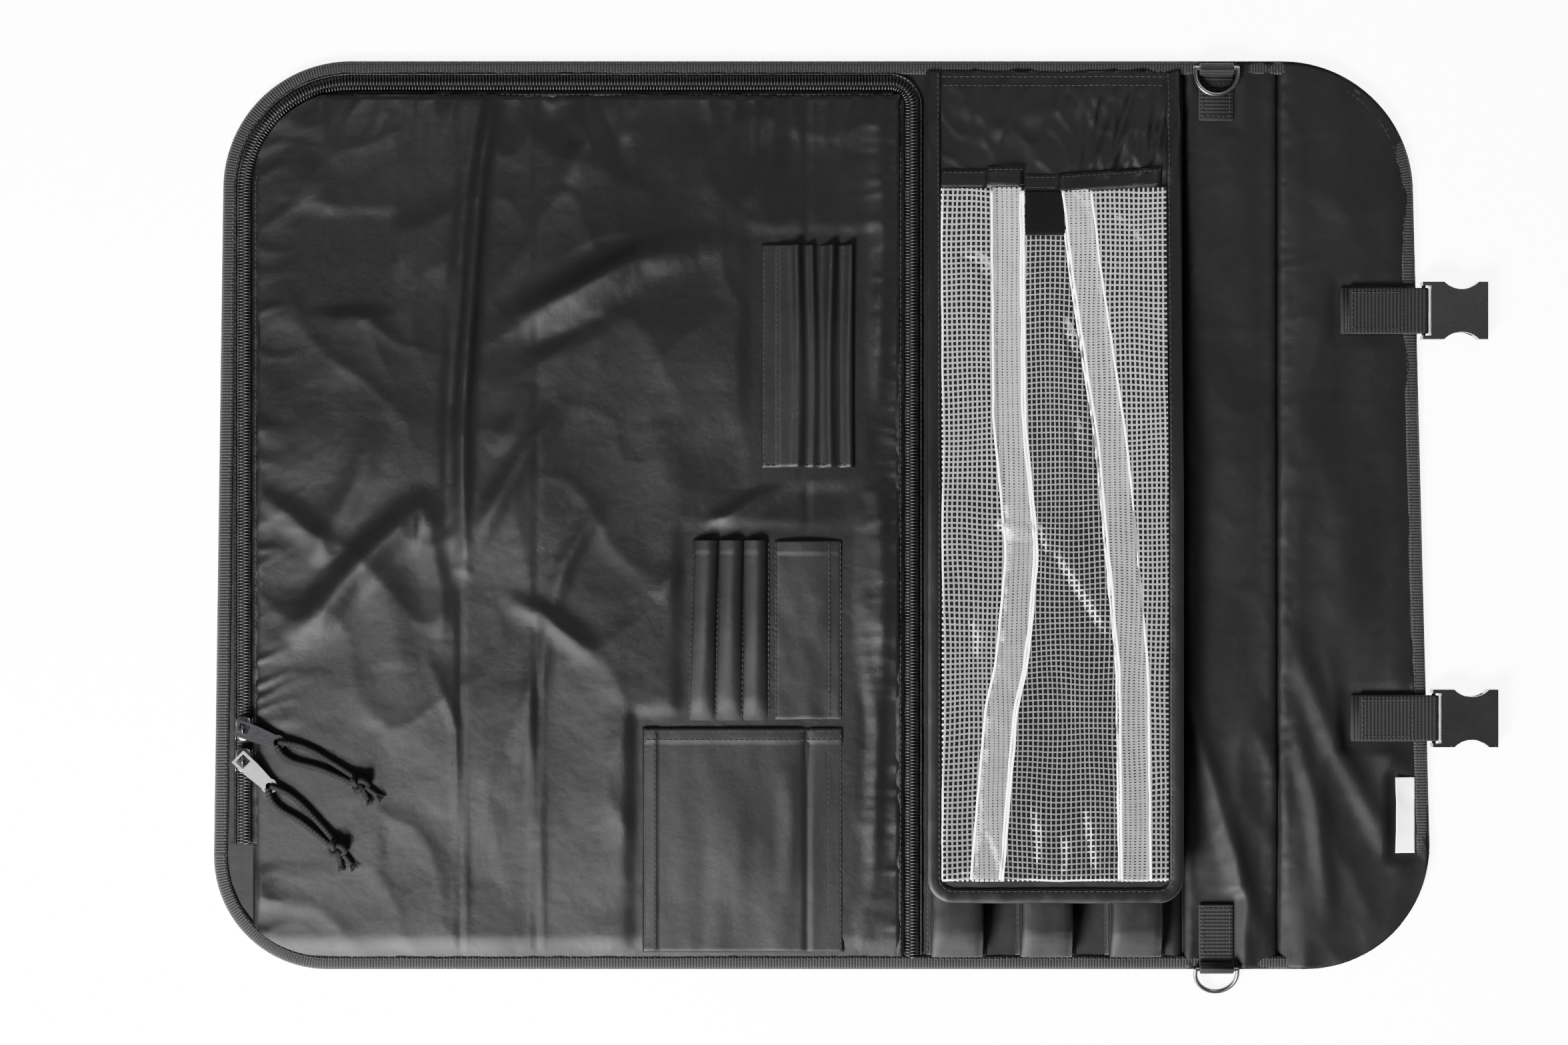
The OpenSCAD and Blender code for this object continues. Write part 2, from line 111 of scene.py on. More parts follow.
def smooth(a, b, t):
    """0 at a, 1 at b, eased between."""
    u = np.clip((np.asarray(t, float) - a) / (b - a), 0, 1)
    return u * u * (3 - 2 * u)


TABLES = {}


def noise(x, y, seed):
    """Gradient noise of about -1 to 1 on arrays."""
    if seed not in TABLES:
        angle = np.random.RandomState(seed).rand(256, 256) * 2 * math.pi
        TABLES[seed] = np.cos(angle), np.sin(angle)
    gx, gy = TABLES[seed]
    x, y = np.broadcast_arrays(np.asarray(x, float), np.asarray(y, float))
    ix, iy = np.floor(x).astype(int), np.floor(y).astype(int)
    fx, fy = x - ix, y - iy
    u, v = fx * fx * (3 - 2 * fx), fy * fy * (3 - 2 * fy)

    def corner(dx, dy):
        i, j = (ix + dx) % 256, (iy + dy) % 256
        return gx[i, j] * (fx - dx) + gy[i, j] * (fy - dy)

    low = corner(0, 0) * (1 - u) + corner(1, 0) * u
    high = corner(0, 1) * (1 - u) + corner(1, 1) * u
    return 1.4 * (low * (1 - v) + high * v)


def ridge(x, y, seed, sharp=1.0):
    """Sharp-crested wrinkles, 0 to 1."""
    return np.clip(1 - np.abs(noise(x, y, seed)) * 2.2, 0, 1) ** (2 * sharp)


def crease(x, y, points, width, height):
    """A fold given as a line of points: a ridge along them, fading at both ends."""
    best = np.full(np.shape(x), 1e9)
    fade = np.zeros(np.shape(x))
    spans = [math.dist(a, b) for a, b in zip(points, points[1:])]
    total, done = sum(spans), 0.0
    for (ax, ay), (bx, by), span in zip(points, points[1:], spans):
        t = np.clip(((x - ax) * (bx - ax) + (y - ay) * (by - ay)) / span**2, 0, 1)
        gap = np.hypot(x - ax - t * (bx - ax), y - ay - t * (by - ay))
        nearer = gap < best
        best = np.where(nearer, gap, best)
        along = (done + t * span) / total
        fade = np.where(nearer, np.sin(math.pi * np.clip(along, 0.02, 0.98)) ** 0.6, fade)
        done += span
    return height * fade * np.exp(-((best / width) ** 2))


def window(x, y, area, margin):
    """1 inside an area (x0, x1, y0, y1), falling to 0 over the margin."""
    x0, x1, y0, y1 = area
    across = smooth(x0 - margin, x0, x) * smooth(x1 + margin, x1, x)
    return across * smooth(y0 - margin, y0, y) * smooth(y1 + margin, y1, y)


def run_along(line):
    """Distance along a line of points."""
    return np.concatenate([[0], np.cumsum(np.linalg.norm(np.diff(line, axis=0), axis=1))])


# ---------------------------------------------------------------- outline


def arc(cx, cy, r, a0, a1, n=24):
    a = np.radians(np.linspace(a0, a1, n))
    return np.stack([cx + r * np.cos(a), cy + r * np.sin(a)], 1)


def outline_points(inset):
    """Closed outline at an inset, clockwise from the left edge's foot, with the same sampling at every inset."""
    step = 2.0
    c = CORNERS
    arcs = [
        arc(X_LEFT + LEFT_LEAN + c["tl"], Y_TOP - c["tl"], c["tl"] - inset, 180, 90),
        arc(X_RIGHT - RIGHT_LEAN - c["tr"], Y_TOP - c["tr"], c["tr"] - inset, 90, 0),
        arc(X_RIGHT - c["br"], Y_BOT + c["br"], c["br"] - inset, 0, -90),
        arc(X_LEFT + c["bl"], Y_BOT + c["bl"], c["bl"] - inset, 270, 180),
    ]
    outer = [HEIGHT, X_RIGHT - X_LEFT, HEIGHT, X_RIGHT - X_LEFT]
    made = []
    for k in range(4):
        a, b = arcs[k - 1][-1], arcs[k][0]
        t = np.linspace(0, 1, int(outer[k] / step), endpoint=False)[1:, None]
        made += [a + (b - a) * t, arcs[k]]
    return np.concatenate(made)


EDGE0, EDGE10 = outline_points(0), outline_points(10)


def edge_at(inset):
    """The outline at an inset that may vary along it."""
    return EDGE0 + (EDGE10 - EDGE0) * np.reshape(inset, (-1, 1)) / 10


def y_range(x, inset):
    """Lowest and highest y inside the outline at each x."""
    p = edge_at(np.full(len(EDGE0), float(inset)))
    left, right = np.argmin(p[:, 0]), np.argmax(p[:, 0])
    order = np.arange(left, left + len(p)) % len(p)
    split = int(np.where(order == right)[0][0])
    top, bottom = p[order[: split + 1]], p[order[split:]][::-1]
    bottom = np.vstack([p[left], bottom])
    return (
        np.interp(x, np.maximum.accumulate(bottom[:, 0]), bottom[:, 1]),
        np.interp(x, np.maximum.accumulate(top[:, 0]), top[:, 1]),
    )


# ---------------------------------------------------------------- mesh helpers


def add_mesh(name, verts, faces, material, uv=None, smooth_shade=True):
    """A mesh object from points in millimetres."""
    mesh = bpy.data.meshes.new(name)
    mesh.from_pydata((np.asarray(verts, float) * MM).tolist(), [], [list(map(int, f)) for f in faces])
    if uv is not None:
        layer = mesh.uv_layers.new(name="UVMap")
        loops = np.zeros(len(mesh.loops), int)
        mesh.loops.foreach_get("vertex_index", loops)
        layer.data.foreach_set("uv", np.asarray(uv, float)[loops].astype(np.float32).ravel())
    mesh.materials.append(material)
    if smooth_shade:
        mesh.polygons.foreach_set("use_smooth", [True] * len(mesh.polygons))
    mesh.update()
    obj = bpy.data.objects.new(name, mesh)
    bpy.context.scene.collection.objects.link(obj)
    return obj


def points(x, y, z):
    """Grid coordinates as a list of points."""
    return np.stack([x, y, z], -1).reshape(-1, 3)


def grid_mesh(name, x, y, z, material):
    return add_mesh(name, points(x, y, z), grid_faces(*x.shape).tolist(), material)


def thicken(obj, thickness):
    """Gives a sheet its cloth thickness, downwards."""
    modifier = obj.modifiers.new("thickness", "SOLIDIFY")
    modifier.thickness = thickness * MM
    modifier.offset = -1


def bend(obj, a, b, x):
    """Bakes a piece's placement into its points; the bodies a and b and the seam at x are not used."""
    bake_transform(obj)


def place(obj, bodies, slot, *nodes):
    """Rides on one body; where there are two, it is only baked in place and rides on neither."""
    if isinstance(bodies, str):
        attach(obj, bodies)
    else:
        bend(obj, *bodies, X_WIDE)
    if nodes:
        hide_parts(*nodes)
    return obj


def grid_faces(columns, rows, start=0, flip=False, wrap=False):
    """Quads between neighbouring columns of points; wrap closes each column on itself."""
    i, j = np.meshgrid(np.arange(columns - 1), np.arange(rows if wrap else rows - 1), indexing="ij")
    a = start + i * rows + j
    b = start + (i + 1) * rows + j
    up = start + i * rows + (j + 1) % rows
    far = start + (i + 1) * rows + (j + 1) % rows
    f = np.stack([a, b, far, up], -1).reshape(-1, 4)
    return f[:, ::-1] if flip else f


class Build:
    """Collects points and faces of many small shapes into one mesh, and keeps each shape's middle."""

    def __init__(self):
        self.verts, self.faces, self.uv, self.mids, self.count = [], [], [], [], 0

    def add(self, verts, faces, uv=None):
        verts = np.asarray(verts, float)
        self.verts.append(verts)
        self.faces += [[int(v) + self.count for v in f] for f in faces]
        self.uv.append(np.zeros((len(verts), 2)) if uv is None else np.asarray(uv, float))
        self.mids.append(np.full(len(faces), verts[:, 0].mean()))
        self.count += len(verts)

    def data(self):
        return np.vstack(self.verts), self.faces, np.vstack(self.uv), np.concatenate(self.mids)


def fold_pieces(name, verts, faces, material, uv=None, mids=None, stands_for=None):
    """Splits a layer that crosses seams into one piece per seam, each baked in place."""
    verts = np.asarray(verts, float)
    centre = mids if mids is not None else np.array([verts[list(f), 0].mean() for f in faces])
    part = np.digitize(centre, CUTS)
    whole = add_mesh(name + "_whole", verts, faces, material)
    normals = np.zeros(len(verts) * 3)
    whole.data.vertices.foreach_get("normal", normals)
    normals = normals.reshape(-1, 3)
    bpy.data.objects.remove(whole)
    made = []
    for k, (a, b, x, bodies) in enumerate(SEAMS):
        chosen = [faces[i] for i in np.where(part == k)[0]]
        if not chosen:
            continue
        used = np.unique(np.concatenate([np.asarray(f) for f in chosen]))
        index = np.full(len(verts), -1)
        index[used] = np.arange(len(used))
        piece = add_mesh(
            f"{name}_{k + 1}",
            verts[used],
            [[index[v] for v in f] for f in chosen],
            material,
            None if uv is None else np.asarray(uv)[used],
        )
        if mids is None:
            piece.data.normals_split_custom_set_from_vertices(normals[used].tolist())
        bend(piece, a, b, x)
        nodes = [n for n in (f"{stands_for}_{body}" for body in bodies) if n in frame["nodes"]]
        if nodes:
            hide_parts(*nodes)
        made.append(piece)
    return made


BRAID_TWIST, BRAID_STRANDS, BRAID_DEPTH = 1.5, 4, 0.14


def tube_mesh(path, radius, sides, braided=False):
    """A closed tube along points in millimetres."""
    path = np.asarray(path, float)
    n = len(path)
    tangent = np.gradient(path, axis=0)
    tangent /= np.linalg.norm(tangent, axis=1)[:, None]
    radius = np.broadcast_to(radius, (n,))
    side = np.cross(tangent, [0, 0, 1.0])
    bad = np.linalg.norm(side, axis=1) < 1e-3
    side[bad] = [1.0, 0, 0]
    side /= np.linalg.norm(side, axis=1)[:, None]
    up = np.cross(side, tangent)
    length = run_along(path)
    a = np.linspace(0, 2 * math.pi, sides, endpoint=False)
    verts, uv = [], []
    for i in range(n):
        r = radius[i]
        if braided:
            turn = BRAID_TWIST * length[i]
            r = r * (1 + BRAID_DEPTH * np.sin(BRAID_STRANDS * a + turn) * np.sin(BRAID_STRANDS * a - turn))
        verts.append(path[i] + side[i] * (np.cos(a) * r)[:, None] + up[i] * (np.sin(a) * r)[:, None])
        uv.append(np.stack([np.full(sides, length[i] / 10), a / (2 * math.pi)], 1))
    faces = grid_faces(n, sides, wrap=True).tolist()
    faces += [list(range(sides)), list(range((n - 1) * sides, n * sides))[::-1]]
    return np.vstack(verts), faces, np.vstack(uv)


def spline(points, n):
    """A smooth line of n points through given points."""
    p = np.asarray(points, float)
    m = len(p)
    t = np.linspace(0, m - 1, n)
    i = np.clip(t.astype(int), 0, m - 2)
    u = (t - i)[:, None]
    p0, p1, p2, p3 = p[np.maximum(i - 1, 0)], p[i], p[i + 1], p[np.minimum(i + 2, m - 1)]
    return 0.5 * (
        2 * p1 + (p2 - p0) * u + (2 * p0 - 5 * p1 + 4 * p2 - p3) * u**2 + (3 * p1 - p0 - 3 * p2 + p3) * u**3
    )


STITCH_RINGS = np.array([[-0.5, 0.25], [-0.3, 1.0], [0.3, 1.0], [0.5, 0.25]])  # place along, share of the width
STITCH_LIFT = 0.12


def stitches(build, line, pitch, length, width):
    """Thread dashes along a line of points on a surface."""
    line = np.asarray(line, float)
    s = run_along(line)
    mids = np.arange(pitch / 2, s[-1], pitch)
    at, ahead, behind = (
        np.stack([np.interp(mids + shift, s, line[:, k]) for k in range(3)], 1) for shift in (0, 0.4, -0.4)
    )
    a = np.linspace(0, 2 * math.pi, 6, endpoint=False)
    faces = grid_faces(4, 6, wrap=True)
    for p, q, o in zip(at, ahead, behind):
        t = (q - o) / max(np.linalg.norm(q - o), 1e-6)
        side = np.cross(t, [0, 0, 1.0])
        side /= max(np.linalg.norm(side), 1e-6)
        up = np.cross(side, t)
        rings = [
            p + t * along * length + [0, 0, STITCH_LIFT]
            + (side * np.cos(a)[:, None] * width / 2 + up * np.sin(a)[:, None] * width / 2.4) * r
            for along, r in STITCH_RINGS
        ]
        build.add(np.vstack(rings), faces)


# ---------------------------------------------------------------- materials


def node_material(name):
    m = bpy.data.materials.new(name)
    m.use_nodes = True
    nt = m.node_tree
    return m, nt, nt.nodes["Principled BSDF"]


def set_inputs(nt, node, inputs):
    """Sets a node's inputs, or links them where the value is another node's output."""
    for key, value in inputs.items():
        if isinstance(value, bpy.types.NodeSocket):
            nt.links.new(value, node.inputs[key])
        else:
            node.inputs[key].default_value = value


def add_node(nt, kind, inputs):
    node = nt.nodes.new("ShaderNode" + kind)
    set_inputs(nt, node, inputs)
    return node


def link_noise(nt, scale, detail=4, stretch=(1, 1, 1)):
    where = add_node(nt, "TexCoord", {}).outputs["Object"]
    stretched = add_node(nt, "Mapping", {"Vector": where, "Scale": stretch}).outputs["Vector"]
    inputs = {"Vector": stretched, "Scale": scale, "Detail": detail, "Roughness": 0.6}
    return add_node(nt, "TexNoise", inputs).outputs["Fac"]


def link_wave(nt, scale, direction, coords="Object", distort=0.4):
    where = add_node(nt, "TexCoord", {}).outputs[coords]
    node = add_node(nt, "TexWave", {"Vector": where, "Scale": scale, "Distortion": distort, "Detail": 1})
    node.bands_direction = direction
    return node.outputs["Fac"]


def maths(nt, operation, a, b):
    node = add_node(nt, "Math", {0: a, 1: b})
    node.operation = operation
    return node.outputs[0]


def varied(nt, base, height, amount):
    """A value that a texture raises by up to an amount."""
    return maths(nt, "ADD", base, maths(nt, "MULTIPLY", height, amount))


def ramp(nt, fac, low, high, a=0.3, b=0.7):
    node = add_node(nt, "ValToRGB", {0: fac})
    for element, position, colour in zip(node.color_ramp.elements, (a, b), (low, high)):
        element.position = position
        element.color = (*colour, 1)
    return node.outputs[0]


def bump(nt, height, distance, strength, under=None):
    inputs = {"Height": height, "Distance": distance, "Strength": strength}
    if under is not None:
        inputs["Normal"] = under
    return add_node(nt, "Bump", inputs).outputs["Normal"]


def cloth(name, dark, light, roughness, sheen, specular, weave=900.0, weave_depth=0.00006):
    """Woven cloth: crossed threads at the real pitch, slight mottling and a varied gloss."""
    m, nt, bsdf = node_material(name)
    mottle = link_noise(nt, 9.0, 5)
    grain = link_noise(nt, 420.0, 2, stretch=(1, 1, 0.2))
    mix = maths(nt, "ADD", maths(nt, "MULTIPLY", mottle, 0.75), maths(nt, "MULTIPLY", grain, 0.25))
    threads = maths(nt, "MULTIPLY", link_wave(nt, weave, "X"), link_wave(nt, weave, "Y"))
    crumple = bump(nt, link_noise(nt, 55.0), 0.0009, 0.5)
    set_inputs(nt, bsdf, {
        "Base Color": ramp(nt, mix, dark, light, 0.35, 0.65),
        "Roughness": varied(nt, roughness - 0.06, mottle, 0.12),
        "Normal": bump(nt, threads, weave_depth, 0.8, under=crumple),
        "Sheen Weight": sheen,
        "Sheen Roughness": 0.4,
        "Specular IOR Level": specular,
    })
    return m


def ribbed(name, dark, light, ribs, roughness, specular):
    """Grosgrain or webbing: ribs across the tape, from its own UV map, with painted shade in the grooves and painted
    highlight on the crests.
    """
    m, nt, bsdf = node_material(name)
    rib = link_wave(nt, ribs / 10, "X", "UV", 0.15)
    height = varied(nt, rib, link_wave(nt, ribs / 4, "Y", "UV", 0.1), 0.35)
    set_inputs(nt, bsdf, {
        # Colour follows the ribs: painted shade in the grooves, painted highlight on the crests
        "Base Color": ramp(nt, rib, dark, light, 0.2, 0.9),
        "Roughness": varied(nt, roughness, link_noise(nt, 40.0), 0.12),
        "Normal": bump(nt, height, 0.0003, 0.9),
        "Sheen Weight": 0.04,
        "Specular IOR Level": specular,
    })
    return m


def metal(name, colour, roughness):
    m, nt, bsdf = node_material(name)
    scratch = link_noise(nt, 260.0, 6, stretch=(1, 6, 1))
    set_inputs(nt, bsdf, {
        "Base Color": ramp(nt, link_noise(nt, 90.0, 3), tuple(c * 0.82 for c in colour), colour),
        "Roughness": varied(nt, roughness, scratch, 0.16),
        "Normal": bump(nt, scratch, 0.000008, 0.4),
        "Metallic": 1.0,
    })
    return m


def plastic(name, dark, light, roughness, specular=0.5):
    m, nt, bsdf = node_material(name)
    pits = link_noise(nt, 700.0, 3)
    set_inputs(nt, bsdf, {
        "Base Color": ramp(nt, link_noise(nt, 60.0), dark, light),
        "Roughness": varied(nt, roughness, pits, 0.14),
        "Normal": bump(nt, pits, 0.00005, 0.6),
        "Specular IOR Level": specular,
    })
    return m


def film_material():
    """Clear glossy film: see-through, with reflections only."""
    m = bpy.data.materials.new("clear_film")
    m.use_nodes = True
    nt = m.node_tree
    nt.nodes.clear()
    normal = bump(nt, link_noise(nt, 60.0, 3), 0.0012, 0.8)
    clear = add_node(nt, "BsdfTransparent", {}).outputs[0]
    gloss = add_node(nt, "BsdfGlossy", {"Roughness": 0.1, "Normal": normal}).outputs[0]
    fresnel = add_node(nt, "Fresnel", {"IOR": 1.5, "Normal": normal}).outputs[0]
    mix = add_node(nt, "MixShader", {0: fresnel, 1: clear, 2: gloss}).outputs[0]
    add_node(nt, "OutputMaterial", {"Surface": mix})
    return m


def grey(v):
    """A slightly blue grey."""
    return (v, v, v * 1.02)


def even(v):
    return (v, v, v)


PACK = cloth("pack_cloth", grey(0.0016), grey(0.003), 0.46, 0.015, 0.075)
SHINY = cloth("shiny_nylon", grey(0.0012), grey(0.0022), 0.34, 0.008, 0.1, 1300, 0.00004)
POCKET = cloth("pocket_nylon", grey(0.0016), grey(0.003), 0.42, 0.01, 0.1, 1300, 0.00004)
LINING = cloth("page_cloth", grey(0.0013), grey(0.0024), 0.42, 0.01, 0.1)
THREAD = cloth("thread", grey(0.006), grey(0.014), 0.65, 0.02, 0.12, 2500)
HOOK = cloth("hook_tape", grey(0.0007), grey(0.0016), 0.85, 0.01, 0.05, 500, 0.0003)
BRAID = cloth("braid", grey(0.0012), grey(0.003), 0.62, 0.02, 0.06, 1500)
LABEL = cloth("label", even(0.8), (0.88, 0.88, 0.87), 0.6, 0.15, 0.5, 1800)
BINDING = ribbed("grosgrain", grey(0.0008), grey(0.0075), 20, 0.62, 0.12)
WEBBING = ribbed("webbing", grey(0.0008), grey(0.0052), 16, 0.7, 0.09)
COIL = plastic("zip_coil", grey(0.0015), grey(0.003), 0.34, 0.16)
BUCKLE = plastic("buckle_plastic", grey(0.0016), grey(0.003), 0.26, 0.3)
NET = plastic("net_yarn", even(0.94), even(0.99), 0.32)
# The same white net yarn painted darker: painted shade for the sunk pleat
NET_SHADED = plastic("net_yarn_painted_shade", even(0.72), even(0.84), 0.4)
FILM = film_material()
NICKEL = metal("nickel", (0.36, 0.36, 0.37), 0.2)
BLACK_NICKEL = metal("black_nickel", (0.07, 0.07, 0.075), 0.2)

# ---------------------------------------------------------------- camera, floor and light

scene = bpy.context.scene
cam_data = bpy.data.cameras.new("camera")
cam_data.sensor_width = 36.0
cam_data.lens = 67.3
camera = bpy.data.objects.new("camera", cam_data)
camera.location = (-0.0386, 0.0027, 1.6)
scene.collection.objects.link(camera)
scene.camera = camera


def softbox(name, location, target, size, power):
    light = bpy.data.lights.new(name, "AREA")
    light.shape = "RECTANGLE"
    light.size, light.size_y = size
    light.energy = power
    obj = bpy.data.objects.new(name, light)
    obj.location = location
    obj.rotation_euler = (Vector(target) - Vector(location)).to_track_quat("-Z", "Y").to_euler()
    scene.collection.objects.link(obj)


softbox("key", (-1.0, -1.6, 1.25), (-0.05, 0, 0), (0.9, 0.8), 640)
softbox("fill", (1.0, 1.4, 2.0), (0, 0, 0), (1.2, 1.2), 50)
world = bpy.data.worlds.new("studio")
world.use_nodes = True
set_inputs(world.node_tree, world.node_tree.nodes["Background"], {"Color": (1, 1, 1, 1), "Strength": 0.6})
scene.world = world

FLOOR_HALF, FLOOR_Z = 12000, -0.05
floor_mat, nt, bsdf = node_material("floor")
set_inputs(nt, bsdf, {
    "Base Color": ramp(nt, link_noise(nt, 3.0), even(0.88), even(0.9)),
    "Roughness": 0.9,
    "Emission Color": (1, 1, 1, 1),
    "Emission Strength": 7.5,
})
side = np.linspace(-FLOOR_HALF, FLOOR_HALF, 5)
fx, fy = np.meshgrid(side, side, indexing="ij")
floor = grid_mesh("floor", fx, fy, 0 * fx + FLOOR_Z, floor_mat)

# ---------------------------------------------------------------- pull cords

PULL_REACH, PULL_SLOPE, EYE_Z = 20.0, 10.5, COVER_Z
CORD_D, KNOT_U = 3.8, 50.0
# Each pull's hinge, the turn of its tab and the heading of its cord
PULLS = {"upper": (joint_mm("pull_upper_lift")[1], -22, -26), "lower": (joint_mm("pull_lower_lift")[1], -45, -42)}
# Each strand's route from the eye: along, across and up
STRANDS = {
    "a": [
        (0.5, 0.6, 2.9), (3, 1.6, 2.9), (6, 2.6, 2.6), (9, 3.4, 2.3), (12, 4, 2.1), (15, 4.3, 2),
        (18, 4.4, 2), (21, 4.4, 2), (24, 4.2, 2), (27, 3.9, 2), (30, 3.6, 2), (34, 3.2, 2),
        (38, 2.8, 2.1), (42, 2.3, 2.4), (46, 1.9, 2.9),
    ],
    "b": [
        (0.5, -1.4, 2.9), (2.5, -3, 2.9), (5, -4.4, 2.6), (8, -5.2, 2.3), (11, -5.4, 2.1), (14, -5.2, 2),
        (17, -4.6, 2), (20, -3.9, 2), (23, -3.2, 2), (26, -2.8, 2), (30, -2.4, 2), (34, -2.2, 2),
        (38, -2, 2.1), (42, -1.8, 2.4), (46, -1.7, 2.9),
    ],
}


def from_eye(route, pull):
    """Points given along, across and up from a pull tab's eye, in place."""
    y, turn, heading = PULLS[pull]
    reach = PULL_REACH * math.cos(math.radians(PULL_SLOPE))
    x0 = ZIP_X0 + reach * math.cos(math.radians(turn))
    y0 = y + reach * math.sin(math.radians(turn))
    c, s = math.cos(math.radians(heading)), math.sin(math.radians(heading))
    p = np.asarray(route, float)
    return np.stack([x0 + p[:, 0] * c - p[:, 1] * s, y0 + p[:, 0] * s + p[:, 1] * c, EYE_Z + p[:, 2]], 1)


def frayed(build, start, direction, length, seed):
    """A cord end that opens into fine threads."""
    rng = np.random.RandomState(seed)
    d = np.array([math.cos(direction), math.sin(direction), 0])
    across = np.array([-d[1], d[0], 0])
    core = [start + d * length * t + across * 0.5 * math.sin(2.4 * t) for t in np.linspace(0, 0.75, 14)]
    build.add(*tube_mesh(core, np.linspace(1.8, 1.6, 14), 16, braided=True))
    for _ in range(26):
        spread, rise = rng.uniform(-0.5, 0.5), rng.uniform(-0.9, 0.9)
        root = core[-2] + across * spread * 1.6 + [0, 0, rise]
        tip = root + (d + across * spread * 0.9) * length * rng.uniform(0.2, 0.36) + [0, 0, rng.uniform(-0.3, 0.4)]
        tip[2] = max(tip[2], COVER_Z + 0.4)
        build.add(*tube_mesh([root, (root + tip) / 2 + across * rng.uniform(-0.3, 0.3), tip], 0.17, 5))


for pull, seed in (("upper", 3), ("lower", 8)):
    # An overhand knot of two strands, pulled tight, with two short frayed tails
    knot = Build()
    t = np.linspace(0, 2 * math.pi, 90)
    for lag in (0.0, 0.35):
        u, v, w = np.sin(t) + 2 * np.sin(2 * t), np.cos(t) - 2 * np.cos(2 * t), -np.sin(3 * t)
        turn = np.stack([KNOT_U + u * 1.35 + lag, v * 1.25 - lag, 4.1 + w * 1.9], 1)
        knot.add(*tube_mesh(from_eye(turn, pull), 1.75, 16, braided=True))
    heading = PULLS[pull][2]
    for angle, length, z in ((-12, 13, 1.6), (-42, 11, 1.6)):
        a = math.radians(angle)
        start = from_eye([(KNOT_U + 2 * math.cos(a), 2 * math.sin(a), z)], pull)[0]
        frayed(knot, start, math.radians(heading + angle), length, seed + int(length))
    verts, faces, uv, _ = knot.data()
    knot_piece = add_mesh(f"pull_knot_{pull}_braid", verts, faces, BRAID, uv)
    place(knot_piece, f"pull_{pull}", "braid", f"pull_knot_{pull}")
    for strand, route in STRANDS.items():
        path = spline(from_eye(route, pull), 140)
        verts, faces, uv = tube_mesh(path, CORD_D / 2 * 0.97, 20, braided=True)
        cord = add_mesh(f"pull_cord_{pull}_{strand}_braid", verts, faces, BRAID, uv)
        place(cord, f"pull_{pull}", "braid", f"pull_cord_{pull}_{strand}")

# ---------------------------------------------------------------- padded shell

# Where a tab, strap or label lies on the shell: x0, x1, y0, y1
FLAT_AREAS = [
    (186, 207, 218, 256), (186, 207, -244, -202), (263, 316, 104, 132), (268, 318, -118, -90), (293, 306, -178, -135)
]
FLAT_TOP = 3.7
# Folds on the strip and the flap: their line, width and height
FLAP_CREASES = [
    ([(238, -60), (262, -120), (300, -190)], 6, 2.8),
    ([(236, -95), (250, -150), (258, -215)], 5, 2.4),
    ([(186, -110), (200, -160), (222, -225)], 5, 2.4),
    ([(245, 190), (270, 170), (302, 176)], 8, 1.0),
    ([(240, 60), (262, 20), (268, -40)], 10, 0.9),
]


def shell_top(x, y):
    """Height of the padded shell's inner face."""
    z = SHELL_T + 0.0 * x
    z = z + 0.25 * noise(x / 30, y / 34, 1) + 0.12 * noise(x / 9, y / 8, 2)
    right = smooth(X_STRIP - 4, X_STRIP + 8, x)
    puff = np.sin(math.pi * np.clip((x - X_STRIP) / (X_FLAP - X_STRIP), 0, 1)) ** 0.5
    z += 1.2 * puff * right
    z += right * 1.5 * smooth(X_FLAP, X_FLAP + 12, x) * smooth(X_RIGHT - 6, X_RIGHT - 22, x)
    # Broad soft folds on the strip and the flap, stronger towards the bottom
    low = smooth(-40, -140, y) * right
    z += low * 2.3 * ridge((x - 270) / 34 + y / 190, y / 120, 5, 0.7)
    z += right * 1.1 * noise(x / 24 + 5, y / 60, 6) + right * 0.35 * ridge(x / 30 - y / 44, y / 36, 7, 1.2)
    for line, width, height in FLAP_CREASES:
        z += crease(x, y, line, width, height) * right
    for area in FLAT_AREAS:
        inside = window(x, y, area, 6)
        z = z * (1 - inside) + np.minimum(z, FLAT_TOP) * inside
    # The seam grooves
    for seam in (X_STRIP, X_FLAP):
        z -= 2.0 * np.exp(-(((x - seam) / 1.1) ** 2))
        z += 0.7 * np.exp(-(((np.abs(x - seam) - 4.5) / 2.6) ** 2)) * ridge(x / 7, y / 6.5, 9, 0.5)
    return z


def slab(top):
    """Closed slab between the floor and a height function, over the whole outline."""
    step, inset = 2.2, 0.9
    columns = int((X_RIGHT - X_LEFT - 2 * inset) / step)
    rows = int(HEIGHT / step)
    xs = np.linspace(X_LEFT + inset + 0.3, X_RIGHT - inset - 0.3, columns)
    xs = np.sort(np.concatenate([xs] + [[s - 1.2, s - 0.5, s, s + 0.5, s + 1.2] for s in (X_STRIP, X_FLAP)]))
    columns = len(xs)
    low, high = y_range(xs, inset)
    t = np.linspace(0, 1, rows)
    x = np.repeat(xs[:, None], rows, 1)
    y = low[:, None] + (high - low)[:, None] * t[None, :]
    upper, lower = points(x, y, top(x, y)), points(x, y, 0.15 + 0.1 * noise(x / 15, y / 15, 11) ** 2)
    n = len(upper)
    faces = grid_faces(columns, rows).tolist() + grid_faces(columns, rows, start=n, flip=True).tolist()
    rim = [i * rows for i in range(columns)] + [(columns - 1) * rows + j for j in range(1, rows)]
    rim += [i * rows + rows - 1 for i in range(columns - 2, -1, -1)] + list(range(rows - 2, 0, -1))
    faces += [[rim[k], rim[k] + n, rim[(k + 1) % len(rim)] + n, rim[(k + 1) % len(rim)]] for k in range(len(rim))]
    return np.vstack([upper, lower]), faces


def shell_height(x, y):
    """The shell's inner face, flat under the zipped cover."""
    covered = smooth(ZIP_X1 + 3, ZIP_X1 - 1, x)
    return shell_top(x, y) * (1 - covered) + (SHELL_T - 0.1) * covered


verts, faces = slab(shell_height)
for piece in fold_pieces("padded_shell", verts, faces, PACK, stands_for="shell"):
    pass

# ---------------------------------------------------------------- grosgrain binding

